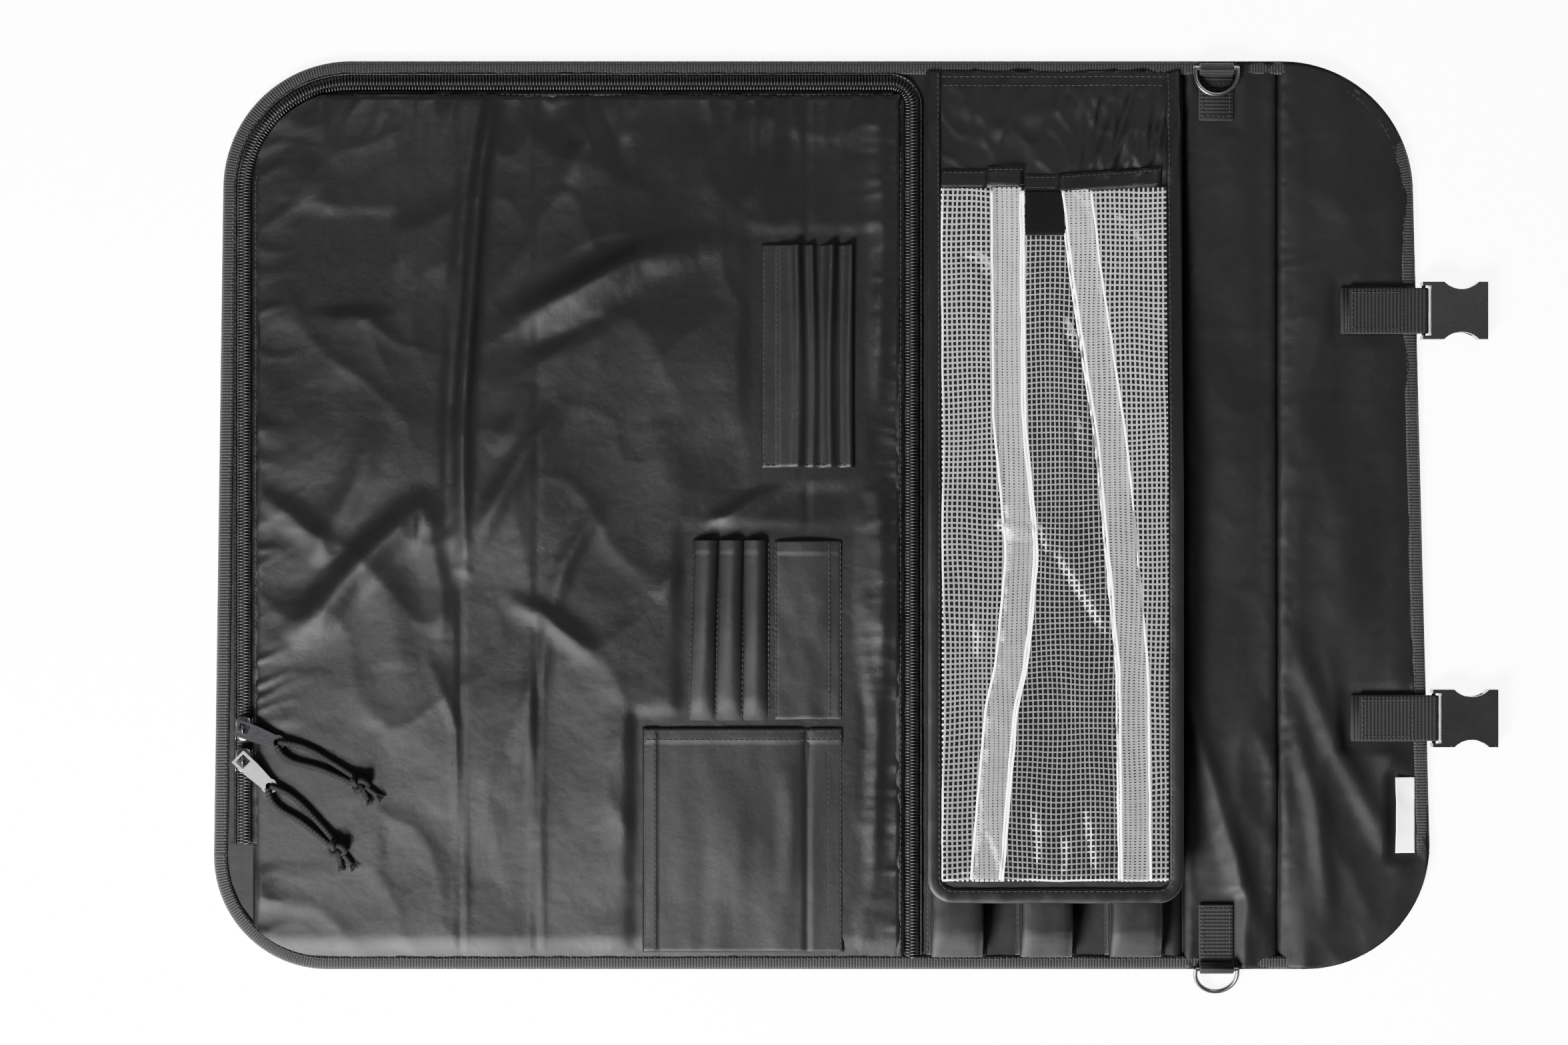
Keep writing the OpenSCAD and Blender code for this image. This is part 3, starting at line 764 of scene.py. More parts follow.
# Its cross-section: inset from the outline, and height
PROFILE = np.array([
    (7.6, 0.05), (4.5, 0.0), (1.6, 0.05), (0.5, 0.6), (0.05, 1.6), (0.1, 2.6), (0.7, 3.5), (1.8, 4.0),
    (3.4, 4.15), (5.2, 4.12), (6.8, 3.95), (7.6, 3.6), (7.7, 3.0),
])
run = run_along(EDGE0)
verts, uv = [], []
wander = 0.25 * noise(run / 26, run * 0 + 3.3, 21)
pucker = 0.16 * noise(run / 3.1, run * 0 + 7.7, 22) + 0.22 * noise(run / 11, run * 0 + 1.7, 23)
for inset, z in PROFILE:
    inner = max(inset - 1, 0) / 6.6
    p = edge_at(np.maximum(inset + wander * inner, 0))
    lift = pucker * (0.4 + inner) * (z > 2)
    verts.append(np.column_stack([p, np.full(len(p), z) + lift]))
    uv.append(np.column_stack([run / 10, np.full(len(p), (abs(inset) + z) / 10)]))
verts, uv = np.vstack(verts), np.vstack(uv)
faces = grid_faces(len(PROFILE), len(EDGE0), wrap=True, flip=True).tolist()
fold_pieces("edge_binding", verts, faces, BINDING, uv, stands_for="binding")
sewn = Build()
line = edge_at(6.2 + wander * 0.8)
stitches(sewn, np.column_stack([line, 4.05 + pucker]), pitch=3.3, length=2.3, width=0.5)
verts, faces, _, mids = sewn.data()
fold_pieces("edge_stitching", verts, faces, THREAD, mids=mids)

# ---------------------------------------------------------------- zipped cover

# Kept flat, as x0, x1, y0, y1: under the pockets, and under the pull cords at both ends of their run
POCKET_AREAS = [
    (-56, 5, 26, 158), (-92, -2, -110, -2), (-118, -2, -236, -104), (-330, -262, -180, -112), (-296, -254, 122, 168)
]
# Folds of the cover: their line, width and height
CREASES = [
    ([(-312, -62), (-292, -48), (-276, -28), (-260, -11), (-237, 9), (-224, -4)], 9, 4.6),
    ([(-298, -20), (-282, 2), (-268, 30), (-262, 60)], 8, 1.8),
    ([(-262, -20), (-252, -48), (-250, -80)], 10, 1.5),
    ([(-236, 8), (-226, -30), (-224, -62)], 6, 1.6),
    ([(-196, 242), (-204, 190), (-208, 136), (-213, 60), (-213, -22)], 4.0, 4.2),
    ([(-203, 236), (-211, 190), (-216, 136), (-221, 60), (-222, 0)], 4.0, -1.6),
    ([(-213, -22), (-198, 8), (-179, 41), (-160, 66)], 7.0, 2.2),
    ([(-186, 112), (-150, 130), (-118, 146), (-84, 153)], 8.0, 4.2),
    ([(-182, 96), (-150, 108), (-124, 124)], 6.0, -1.2),
    ([(-176, 80), (-182, 60), (-198, 40)], 7, 1.4),
    ([(-325, 17), (-308, 8), (-293, -6), (-285, -20)], 6.0, 2.2),
    ([(-86, -4), (-62, 10), (-39, 26)], 4.5, 2.0),
    ([(-110, -40), (-88, -18), (-70, -2)], 7, 1.5),
    ([(-190, -38), (-166, -50), (-140, -72)], 5.5, 1.8),
    ([(-166, -50), (-158, -20), (-140, 10)], 5.5, 1.6),
    ([(-166, -50), (-176, -90), (-182, -130)], 6.0, 1.4),
    ([(-232, -70), (-216, -110), (-214, -180), (-214, -238)], 3.0, 1.3),
    ([(-174, -90), (-173, -160), (-172, -238)], 3.0, 1.3),
    ([(-312, 206), (-290, 176), (-270, 140)], 12, 1.2),
    ([(-150, 232), (-146, 210), (-156, 186)], 7, 1.6),
    ([(-138, 228), (-128, 206), (-126, 190)], 5, -1.0),
    ([(-40, 234), (-44, 205), (-58, 172)], 6, 1.2),
    ([(12, 236), (15, 160), (12, 60)], 5, 1.6),
    ([(12, 40), (15, -30), (13, -120)], 5, 1.5),
    ([(4, -60), (12, -110), (10, -200)], 4, 1.2),
    ([(-110, 60), (-98, 20), (-100, -20)], 12, 1.2),
    ([(-130, -96), (-122, -140), (-124, -200)], 12, 1.0),
]


def cover_top(x, y):
    """Height of the thin cover: listed folds over soft random crumples."""
    open_air = math.prod(1 - window(x, y, area, 9) for area in POCKET_AREAS)
    edge_left, edge_top = x - (ZIP_X0 + 4.8), ZIP_TOP - 4.8 - y
    edge_right, edge_low = COVER_X1 - x, y - (Y_BOT + BINDING_W)
    rim = np.minimum(np.minimum(edge_left, edge_top), np.minimum(edge_right, edge_low * 0.25))
    z = 0.0 * x
    for line, width, height in CREASES:
        z += crease(x, y, line, width, height)
    warp = 14 * noise(x / 80, y / 80, 31)
    z += 1.7 * noise((x + warp) / 75, (y - warp) / 70, 32)
    z += 0.55 * ridge((x + warp) / 62, (y + warp) / 54, 33, 1.0)
    z += 0.3 * noise((x - warp) / 24, (y + warp) / 26, 34)
    z += 0.5 * smooth(40, 120, y) * ridge((x + warp) / 36, (y - warp) / 80, 43, 1.0)
    z += 0.06 * ridge(x / 8, y / 9, 35, 0.8)
    # Puckers that run in from the sewn edges
    near_top = np.exp(-edge_top / 16)
    near_left = np.exp(-edge_left / 11)
    near_right = np.exp(-edge_right / 10)
    z += near_top * 1.6 * ridge(x / 16 + noise(x / 40, y / 60, 36), y / 60, 37, 1.1)
    z += near_left * 1.3 * ridge(x / 50, y / 15 + noise(x / 40, y / 40, 38), 39, 1.1)
    z += near_right * 1.4 * ridge(x / 50, y / 10, 40, 1.0)
    z *= open_air
    z = 1.0 + np.maximum(z, -0.9)
    # The spine seams under the lining draw it down; a faint fold line marks the wide spine's seam
    low = smooth(-20, -90, y)
    for seam in (X_NARROW, X_MIDDLE):
        z -= (0.25 + 0.75 * low) * np.exp(-(((x - seam) / 1.8) ** 2))
    z -= 0.6 * open_air * np.exp(-(((x - X_WIDE) / 1.6) ** 2))
    tuck = smooth(-0.5, 3.0, rim)
    return SHELL_T + 0.55 + (COVER_Z - SHELL_T - 0.75 + z) * tuck


COVER_ROWS, COVER_LENGTH, WRINKLE_SPARE = 262, 0.484, 1.02
COVER_X0 = ZIP_X0 + TAPE_HALF
xs = np.arange(COVER_X0, COVER_X1 + 0.4, 1.9)
low, _ = y_range(xs, BINDING_W - 0.3)
corner = ZIP_R0 - TAPE_HALF
x_c = COVER_X0 + corner
high = ZIP_TOP - TAPE_HALF - corner + np.sqrt(np.maximum(corner**2 - np.maximum(x_c - xs, 0) ** 2, 0))
gx = np.repeat(xs[:, None], COVER_ROWS, 1)
gy = low[:, None] + (high - low)[:, None] * np.linspace(0, 1, COVER_ROWS)
verts, faces = points(gx, gy, cover_top(gx, gy)), grid_faces(len(xs), COVER_ROWS).tolist()
cover_pieces = fold_pieces("zipped_cover", verts, faces, SHINY, stands_for="cover")

# ---------------------------------------------------------------- zip


def evenly(p, step):
    """Evenly spaced points on a line, their directions and their distance along it."""
    s = run_along(p)
    at = np.linspace(0, s[-1], int(s[-1] / step))
    q = np.stack([np.interp(at, s, p[:, k]) for k in range(2)], 1)
    d = np.gradient(q, axis=0)
    d /= np.linalg.norm(d, axis=1)[:, None]
    return q, d, at


zip_line = np.vstack([
    [ZIP_X0, ZIP_FOOT],
    arc(ZIP_X0 + ZIP_R0, ZIP_TOP - ZIP_R0, ZIP_R0, 180, 90, 24),
    arc(ZIP_X1 - ZIP_R1, ZIP_TOP - ZIP_R1, ZIP_R1, 90, 0, 14),
    [ZIP_X1, Y_BOT + BINDING_W + 0.6],
])
centre, ahead, along = evenly(zip_line, 1.7)
outward = np.column_stack([-ahead[:, 1], ahead[:, 0]])
TAPE_Z, TEETH_Z = 3.9, 4.75


def tape_band(name, inner, outer, z, material, thick, ripple, seed):
    """A crowned strip that follows the zip between two offsets."""
    offsets = np.linspace(inner, outer, 7)
    v, u = [], []
    for k, o in enumerate(offsets):
        p = centre + outward * o
        crown = math.sin(math.pi * k / 6) * thick
        wave = ripple * noise(along / 7 + 4, along * 0 + o / 6, seed)
        v.append(np.column_stack([p, z + crown + wave]))
        u.append(np.column_stack([along / 10, np.full(len(along), o / 10)]))
    v, u = np.vstack(v), np.vstack(u)
    fold_pieces(name, v, grid_faces(7, len(along), flip=True).tolist(), material, u)


tape_band("zip_tape", -4.5, 4.5, TAPE_Z - 0.35, BINDING, 0.3, 0, 51)
teeth = Build()
for p, d, o, s in zip(centre, ahead, outward, along):
    if PULLS["lower"][0] - 5 < p[1] < PULLS["upper"][0] + 5 and p[0] < X_NARROW - 90:
        continue  # the zip is open between its two sliders
    for sign, shift in ((-1, 0.0), (1, 0.85)):
        c = p + d * shift
        route = [
            (*(c + o * sign * 3.6), TEETH_Z - 0.5),
            (*(c + o * sign * 3.3), TEETH_Z + 0.35),
            (*(c + o * sign * 1.6 + d * 0.15), TEETH_Z + 0.62),
            (*(c - o * sign * 0.7 + d * 0.15), TEETH_Z + 0.5),
            (*(c - o * sign * 1.0), TEETH_Z),
        ]
        teeth.add(*tube_mesh(route, [0.42, 0.46, 0.46, 0.5, 0.4], 6))
verts, faces, _, mids = teeth.data()
fold_pieces("zip_chain", verts, faces, COIL, mids=mids, stands_for="zip")

# Folded fabric welts that frame the zip, with their stitch lines
tape_band("zip_welt_outer", 4.3, 6.0, 3.65, SHINY, 0.6, 0.3, 52)
tape_band("zip_welt_inner", -9.2, -4.2, 4.45, SHINY, 0.9, 0.4, 53)
sewn = Build()
for o, z, seed in ((-6.2, 5.45, 53), (5.1, 4.2, 52)):
    line = np.column_stack([centre + outward * o, z + 0.36 * noise(along / 7 + 4, along * 0 + o / 6, seed)])
    stitches(sewn, line, pitch=3.2, length=2.2, width=0.45)
end_y = ZIP_FOOT - 1.6
stitches(sewn, [(ZIP_X0 - 9, end_y, 4.4), (ZIP_X0 + 9, end_y, 4.6)], pitch=2.6, length=2.0, width=0.5)
verts, faces, _, mids = sewn.data()
fold_pieces("zip_stitching", verts, faces, THREAD, mids=mids)

# ---------------------------------------------------------------- pockets on the cover


def smart_grid(x0, x1, y0, y1, step):
    """A grid over a rectangle, at about a step."""
    nx, ny = max(int((x1 - x0) / step), 4), max(int((y1 - y0) / step), 4)
    return np.meshgrid(np.linspace(x0, x1, nx + 1), np.linspace(y0, y1, ny + 1), indexing="ij")


def bounds_mm(*nodes):
    low, high = box_mm(*nodes)
    return low[0], high[0], low[1], high[1]


def panel_grid(area, step):
    """Grid over an area, each point's share across and up it, and its distance from the sides and the foot."""
    x0, x1, y0, y1 = area
    x, y = smart_grid(*area, step)
    u, v = (x - x0) / (x1 - x0), (y - y0) / (y1 - y0)
    return x, y, u, v, np.minimum(np.minimum(u * (x1 - x0), (1 - u) * (x1 - x0)), v * (y1 - y0))


def sewn_down(z, edge, base, width):
    """Brings a panel's heights down to its base along its sewn edge."""
    return COVER_Z + base + (z - COVER_Z - base) * smooth(-0.5, width, edge)


def pocket_panel(name, x, y, z, thickness, *nodes):
    """A thin sewn pocket on the cover."""
    obj = grid_mesh(name, x, y, z, POCKET)
    thicken(obj, thickness)
    return place(obj, ACROSS, "shiny_nylon", *nodes)


def stitch_piece(name, lines, bodies, slot, pitch=3.0, length=2.16, width=0.45):
    sewn = Build()
    for line in lines:
        stitches(sewn, line, pitch, length, width)
    verts, faces, _, _ = sewn.data()
    place(add_mesh(name, verts, faces, THREAD), bodies, slot)


ACROSS = ("middle_panel", "wide_spine")
BASE = COVER_Z + 0.9

# Pleated pocket: a sewn strip, three folds and a gaping middle
px0, px1, py0, py1 = area = bounds_mm("pleated_pocket", "pleated_pocket_side")
x, y, u, v, edge = panel_grid(area, 1.0)
mouth = smooth(0.3, 1.0, v)
bow = 0.014 * np.sin(math.pi * v * 1.3)
z = BASE + 0.9 + 0.2 * noise(x / 14, y / 30, 61)
# Three folds stand up; between them the cloth sinks, most in the gaping middle
for at, width, height in ((0.4, 0.05, 2.8), (0.55, 0.035, 1.5), (0.74, 0.05, 3.0), (0.95, 0.05, 2.4)):
    lean = at + bow * (1 if at < 0.7 else -1)
    z += height * (0.7 + 0.5 * mouth) * np.exp(-(((u - lean) / width) ** 2))
z += 1.0 * smooth(0.16, 0.2, u) * smooth(0.42, 0.36, u)
z -= 0.7 * np.exp(-(((u - 0.63 - bow) / 0.05) ** 2)) * (0.5 + mouth)
z -= 0.5 * np.exp(-(((u - 0.845) / 0.03) ** 2))
z = np.maximum(z, COVER_Z + 0.5)
z = sewn_down(z, edge, 0.45, 1.6)
pleated = pocket_panel("pleated_pocket_cloth", x, y, z, CLOTH_T, "pleated_pocket", "pleated_pocket_side")
tops = BASE + 1.1
stitch_piece(
    "pleated_pocket_stitching",
    [
        [(px0 + 1.6, py0 + 2, tops), (px0 + 1.6, py1 - 2, tops)],
        [(px0 + 8.2, py0 + 2, tops), (px0 + 8.2, py1 - 2, tops)],
        [(px0 + 2, py0 + 1.7, tops), (px1 - 2, py0 + 1.7, tops + 0.3)],
    ],
    ACROSS,
    "shiny_nylon",
)

# Slip pocket beside the pen pockets, and the hem along both their mouths
sx0, sx1, sy0, sy1 = area = bounds_mm("slip_pocket", "slip_pocket_side")
x, y, u, v, edge = panel_grid(area, 1.1)
z = BASE + 0.2 + 1.1 * np.sin(math.pi * u) * (0.3 + 0.9 * smooth(0.3, 1, v)) + 0.3 * noise(x / 12, y / 14, 63)
z += 0.25 * noise(x / 10 + y / 50, y / 34, 64)
z += 0.35 * smooth(sy1 - 7.4, sy1 - 6.8, y)
z = sewn_down(z, edge, 0.4, 1.8)
slip = pocket_panel("slip_pocket_cloth", x, y, z, THIN_CLOTH_T, "slip_pocket", "slip_pocket_side")
tops = BASE + 1.5
stitch_piece(
    "slip_pocket_stitching",
    [
        [(sx0 + 0.8, sy0 + 1, tops - 0.9), (sx0 + 0.8, sy1 - 1, tops - 0.7)],
        [(sx1 - 7.6, sy0 + 1, tops - 0.3), (sx1 - 7.6, sy1 - 1, tops + 0.1)],
        [(sx1 - 1.4, sy0 + 1, tops - 0.9), (sx1 - 1.4, sy1 - 1, tops - 0.7)],
    ],
    ACROSS,
    "shiny_nylon",
)

# Three pen pockets: soft tubes side by side, sewn between, open at the top
nx0, nx1, ny0, ny1 = bounds_mm("pen_pockets")
PEN_PITCH, PEN_FAN = (nx1 - nx0 + 0.4) / 3, 2.6
pens = Build()
t = np.linspace(0, 1, 15)
ys = np.linspace(ny0, ny1, 70)
for k in range(3):
    v = (ys - ny0) / (ny1 - ny0)
    fan = -PEN_FAN * (1 - v) * (2 - k) / 2
    x = nx0 + k * PEN_PITCH + fan + (PEN_PITCH + (0.9 if k < 2 else 0.2)) * t[:, None]
    y, v = ys + 0 * x, v + 0 * x
    bulge = np.sin(math.pi * t[:, None]) ** 0.6
    lean = 0.5 + 0.5 * np.sin(math.pi * (t[:, None] - 0.35))
    front = BASE + 0.35 + 3.9 * (0.55 + 0.45 * smooth(0.05, 0.6, v)) * (0.72 * bulge + 0.28 * bulge * lean)
    front = front + 0.3 * noise(x / 9, y / 30, 65 + k) + 0.3 * (v > 0.93)
    front = BASE + (front - BASE) * smooth(-0.03, 0.14, v)
    for z in (0 * x + BASE + 0.1, front):
        pens.add(points(x, y, z), grid_faces(*x.shape))
verts, faces, _, _ = pens.data()
verts[:, 0] = np.maximum(verts[:, 0], nx0 - 2.9)
pen_obj = place(
    add_mesh("pen_pockets_cloth", verts, faces, POCKET), "middle_panel", "shiny_nylon", "pen_pockets"
)
lines = []
for k in range(4):
    xt = nx0 + k * PEN_PITCH
    xb = xt - PEN_FAN * (3 - k) / 3
    lines.append([(xb + 0.4, ny0 + 1.5, BASE + 0.75), (xt + 0.4, ny1 - 1.5, BASE + 0.75)])
stitch_piece("pen_pocket_stitching", lines, "middle_panel", "shiny_nylon")

# Patch pocket below, with its side hem
PATCH_NODES = ("patch_pocket_hem", "patch_pocket", "patch_pocket_side")
qx0, qx1, qy0, qy1 = bounds_mm(*PATCH_NODES)
x, y = smart_grid(qx0 + 0.4, qx1, qy0, qy1, 1.2)
u, v = (x - qx0) / (qx1 - qx0), (y - qy0) / (qy1 - qy0)
z = BASE + 0.25 + 1.3 * np.sin(math.pi * np.clip(u, 0, 1)) * np.sin(math.pi * np.clip(v * 0.9 + 0.08, 0, 1))
z += 0.5 * noise(x / 26, y / 44, 71) + 0.3 * noise(x / 11, y / 60, 72)
z += crease(x, y, [(-70, -130), (-66, -165), (-70, -205)], 9, 0.7)
z += crease(x, y, [(-38, -128), (-34, -160), (-38, -200)], 6, 0.8)
z += 0.5 * (1 - smooth(8.2, 8.9, x - qx0)) + 0.5 * smooth(qy1 - 7.6, qy1 - 7.0, y)
z -= 0.7 * np.exp(-(((x - X_WIDE) / 1.8) ** 2))
edge = np.minimum(np.minimum(x - qx0, qx1 - x), np.minimum(y - qy0 + 0.6, 2.0 + 0 * y))
z = sewn_down(z, edge, 0.4, 1.8)
patch = pocket_panel("patch_pocket_cloth", x, y, z, CLOTH_T, *PATCH_NODES)


def on_patch(x0, y0, x1, y1):
    """Stitch line laid on the patch pocket's own heights."""
    line = spline([(x0, y0, 0), (x1, y1, 0)], 60)
    i = np.clip(np.searchsorted(x[:, 0], line[:, 0]), 0, x.shape[0] - 1)
    j = np.clip(np.searchsorted(y[0], line[:, 1]), 0, y.shape[1] - 1)
    line[:, 2] = z[i, j] + 0.05
    return line


stitch_piece(
    "patch_pocket_stitching",
    [
        *(on_patch(seam, qy0 + 2, seam, qy1 - 2) for seam in (qx0 + 1.8, qx0 + 7.6, qx1 - 8.2, qx1 - 1.8)),
        *(on_patch(qx0 + 2, seam, qx1 - 2, seam) for seam in (qy1 - 1.6, qy1 - 6.4)),
    ],
    ACROSS,
    "shiny_nylon",
)

# ---------------------------------------------------------------- stick pockets

FLANGE, CROWN_TOP, POCKET_LENGTH = 2.5, 15.75, 0.25
for k in range(3):
    x0, x1, y0, y1 = bounds_mm(f"stick_pocket_{k + 1}")
    mid, half = (x0 + x1) / 2, (x1 - x0) / 2 - FLANGE
    # Cross-section of half the pocket, from the crown's middle down to the sewn flange
    section = np.array([
        (0, 15.55), (half * 0.3, 15.6), (half * 0.6, 15.5), (half * 0.82, 15.1), (half * 0.95, 14.2), (half, 12.6),
        (half + 0.15, 9.5), (half - 0.1, 6.2), (half - 0.35, 3.2), (half - 0.15, 1.5), (half + 0.5, 0.75),
        (half + FLANGE, 0.6),
    ])
    section = np.vstack([section[::-1] * [-1, 1], section[1:]])
    ys = np.concatenate([np.linspace(y0 + 0.3, y0 + 17, 18), np.linspace(y0 + 19, y1, 98)])
    rings = []
    for yy in ys:
        end = smooth(y0 - 9.0, y0 + 16, yy)
        sag = 0.25 * noise(yy / 22, 3.0 * k, 81) + 0.12 * noise(yy / 7, 5.0 * k, 82)
        across = section[:, 0]
        h = section[:, 1] * (0.42 + 0.58 * end)
        crown = h > 2
        crumple = 0.32 * noise(across / 6 + k * 7, yy / 9, 83)
        fine = 0.18 * ridge(across / 9 + k, yy / 4.6, 84, 0.8)
        xx = mid + across * (1 - 0.02 * (1 - end)) - np.where(crown, crumple * 0.5 * np.sign(across), 0)
        zz = SHELL_T + 0.35 + np.where(crown, np.minimum(h + sag * 0.6 + crumple - 0.3 + fine, CROWN_TOP), h)
        rings.append(np.column_stack([xx, np.full(len(xx), yy), zz]))
    g = np.stack(rings, 1)
    verts = g.reshape(-1, 3)
    faces = grid_faces(len(section), len(ys)).tolist()
    # Closed, gathered lower end
    foot = len(verts)
    lower = g[:, 0].copy()
    lower[:, 2] = SHELL_T + 0.3
    lower[:, 1] -= 0.3
    verts = np.vstack([verts, lower])
    faces += [[i * len(ys), foot + i, foot + i + 1, (i + 1) * len(ys)] for i in range(len(section) - 1)]
    pocket = add_mesh(f"stick_pocket_{k + 1}_cloth", verts, faces, PACK)
    thicken(pocket, CLOTH_T)
    place(pocket, "stick_panel", "pack_cloth", f"stick_pocket_{k + 1}")
    seams = [
        [(seam, y0 + 2, SHELL_T + 1.0), (seam, y1 - 1, SHELL_T + 1.0)] for seam in (mid - half - 1.7, mid + half + 1.7)
    ]
    stitch_piece(f"stick_pocket_{k + 1}_stitching", seams, "stick_panel", "pack_cloth")

# ---------------------------------------------------------------- mesh page

low, high = box_mm("page_backing")
PX0, PX1, PY0, PY1 = low[0], high[0], low[1], high[1]
PAGE_T = 0.8
PAGE_TOP_Z, PAGE_Z = low[2], high[2] - PAGE_T
PAGE_KNEE = box_mm("stick_pocket_1")[1][1] + 3
PAGE_R = 14.0
MX0, MX1 = PX0 + 8.2, PX1 - 8.2
_, _, MY0, MY1 = bounds_mm("page_mesh_left")
BAND_LEFT = [(184, 91), (57, 91.5), (20, 95), (-12, 98), (-50, 95), (-76, 92), (-97, 87), (-191, 79)]  # y, right edge
BAND_RIGHT = [(184, 111), (138, 116), (48, 129), (-76, 140.5), (-191, 142)]  # y, left edge
BAND_W = 17.0


def edge_line(band, y):
    """A band's edge at each height."""
    p = np.array(sorted(band), float)
    return np.interp(y, p[:, 0], p[:, 1])


def page_top(x, y):
    """Height of the page's upper face: it lies on the pockets, sags between them and falls to the top seam."""
    level = np.where(y <= PAGE_KNEE, PAGE_Z, PAGE_Z + (PAGE_TOP_Z - PAGE_Z) * (y - PAGE_KNEE) / (PY1 - PAGE_KNEE))
    z = level + PAGE_T
    black = smooth(186, 198, y)
    z += black * (0.9 * ridge(x / 16 + y / 60, y / 24, 91, 1.2) + 0.6 * noise(x / 21, y / 15, 92))
    gather = smooth(112, 135, x) * smooth(246, 232, y) * black
    z += gather * 2.0 * ridge(x / 6.5 - y / 30, y / 40, 93, 0.8)
    z += black * crease(x, y, [(60, 205), (92, 224), (128, 232)], 5, 1.2)
    z += black * crease(x, y, [(48, 236), (80, 216), (104, 200)], 5, 0.9)
    z += 0.2 * noise(x / 30, y / 40, 94)
    z -= 0.7 * smooth(236, 247, y) * black
    return z


def relief(x, y):
    """How far the net stands above the page: doubled bands stand up, the pleat between them sinks."""
    a, b = edge_line(BAND_LEFT, y), edge_line(BAND_RIGHT, y)
    left_band = smooth(a - BAND_W, a - BAND_W + 3, x) * smooth(a + 0.6, a - 0.6, x)
    right_band = smooth(b - 0.6, b + 0.6, x) * smooth(b + BAND_W, b + BAND_W - 3, x)
    between = smooth(a - 0.6, a + 0.6, x) * smooth(b + 0.6, b - 0.6, x)
    lift = 0.5 + 0.9 * left_band + 0.85 * right_band - 0.2 * between
    return lift + 0.15 * noise(x / 24, y / 46, 95) + 0.1 * noise(x / 9, y / 14, 96)


def page_outline(inset):
    """The page's outline at an inset, down the left side, along the foot and up the right side."""
    r = PAGE_R - inset
    side = np.linspace(PY1 - 1, PY0 + PAGE_R, 91)[:-1]
    base_x = np.linspace(PX0 + PAGE_R, PX1 - PAGE_R, 42)[1:-1]
    return np.vstack([
        np.column_stack([np.full(len(side), PX0 + inset), side]),
        arc(PX0 + PAGE_R, PY0 + PAGE_R, r, 180, 270, 12),
        np.column_stack([base_x, np.full(len(base_x), PY0 + inset)]),
        arc(PX1 - PAGE_R, PY0 + PAGE_R, r, 270, 360, 12),
        np.column_stack([np.full(len(side), PX1 - inset), side[::-1]]),
    ])


# Backing cloth
xs = np.linspace(PX0 + 0.6, PX1 - 0.6, 92)
beyond = np.maximum(np.maximum(PX0 + PAGE_R - xs, xs - (PX1 - PAGE_R)), 0)
foot = PY0 + PAGE_R - np.sqrt(np.maximum((PAGE_R - 0.5) ** 2 - beyond**2, 0))
x = np.repeat(xs[:, None], 300, 1)
y = foot[:, None] + (PY1 - foot)[:, None] * np.linspace(0, 1, 300)
backing = grid_mesh("page_backing_cloth", x, y, page_top(x, y), LINING)
thicken(backing, CLOTH_T)
place(backing, "page", "page_cloth", "page_backing")

# Binding round three sides
PAGE_PROFILE = [
    (7.9, -0.5), (0.6, -0.85), (0.0, -0.4), (0.0, 0.6), (0.7, 1.25), (2.4, 1.45), (4.6, 1.4), (6.9, 1.2), (7.9, 0.8),
    (8.0, 0.1),
]  # inset and height above the page
rings, uv = [], []
run = run_along(page_outline(0))
for inset, lift in PAGE_PROFILE:
    p = page_outline(inset)
    wave = (0.3 * noise(run / 10, run * 0 + 2.2, 97) + 0.15 * noise(run / 3.4, run * 0 + 5.1, 98)) * (lift > 0)
    rings.append(np.column_stack([p, page_top(p[:, 0], p[:, 1]) + lift + wave]))
    uv.append(np.column_stack([run / 10, np.full(len(p), inset / 10)]))
faces = grid_faces(len(PAGE_PROFILE), len(run)).tolist()
edge = add_mesh("page_edge_binding", np.vstack(rings), faces, SHINY, np.vstack(uv))
place(edge, "page", "grosgrain", "page_binding")
sewn = Build()
p = page_outline(6.6)
stitches(sewn, np.column_stack([p, page_top(p[:, 0], p[:, 1]) + 1.4]), pitch=3.2, length=2.3, width=0.5)
for yy, x0, x1 in ((PY1 - 3.0, PX0 + 2, PX1 - 2), (PY1 - 8.0, PX0 + 9, PX1 - 9)):
    xx = np.linspace(x0, x1, 60)
    yv = np.full(60, yy)
    stitches(sewn, np.column_stack([xx, yv, page_top(xx, yv) + 0.1]), pitch=3.2, length=2.3, width=0.5)

# The net: two sets of knitted yarns, thinner in the sunk pleat and painted darker there as shade, doubled on the two
# bands
PITCH_X, PITCH_Y = 2.6, 3.0
YARN = [(-0.5, -0.12), (-0.36, 0.16), (0.36, 0.16), (0.5, -0.12)]  # its cross-section: share of the width, and height


def yarn(build, path, across, width, keep):
    """A flat yarn along a path, where keep(x, y) says so."""
    inside = keep(path[:, 0], path[:, 1])
    for run in np.split(np.arange(len(path)), np.where(np.diff(inside))[0] + 1):
        if len(run) > 1 and inside[run[0]]:
            ring = [path[run] + [across[0] * s * width, across[1] * s * width, h] for s, h in YARN]
            build.add(np.stack(ring, 1).reshape(-1, 3), grid_faces(len(run), 4))


def in_pleat(x, y):
    return (x > edge_line(BAND_LEFT, y)) & (x < edge_line(BAND_RIGHT, y))


def in_left_band(x, y):
    a = edge_line(BAND_LEFT, y)
    return (x > a - BAND_W) & (x < a)


def in_right_band(x, y):
    b = edge_line(BAND_RIGHT, y)
    return (x > b) & (x < b + BAND_W)


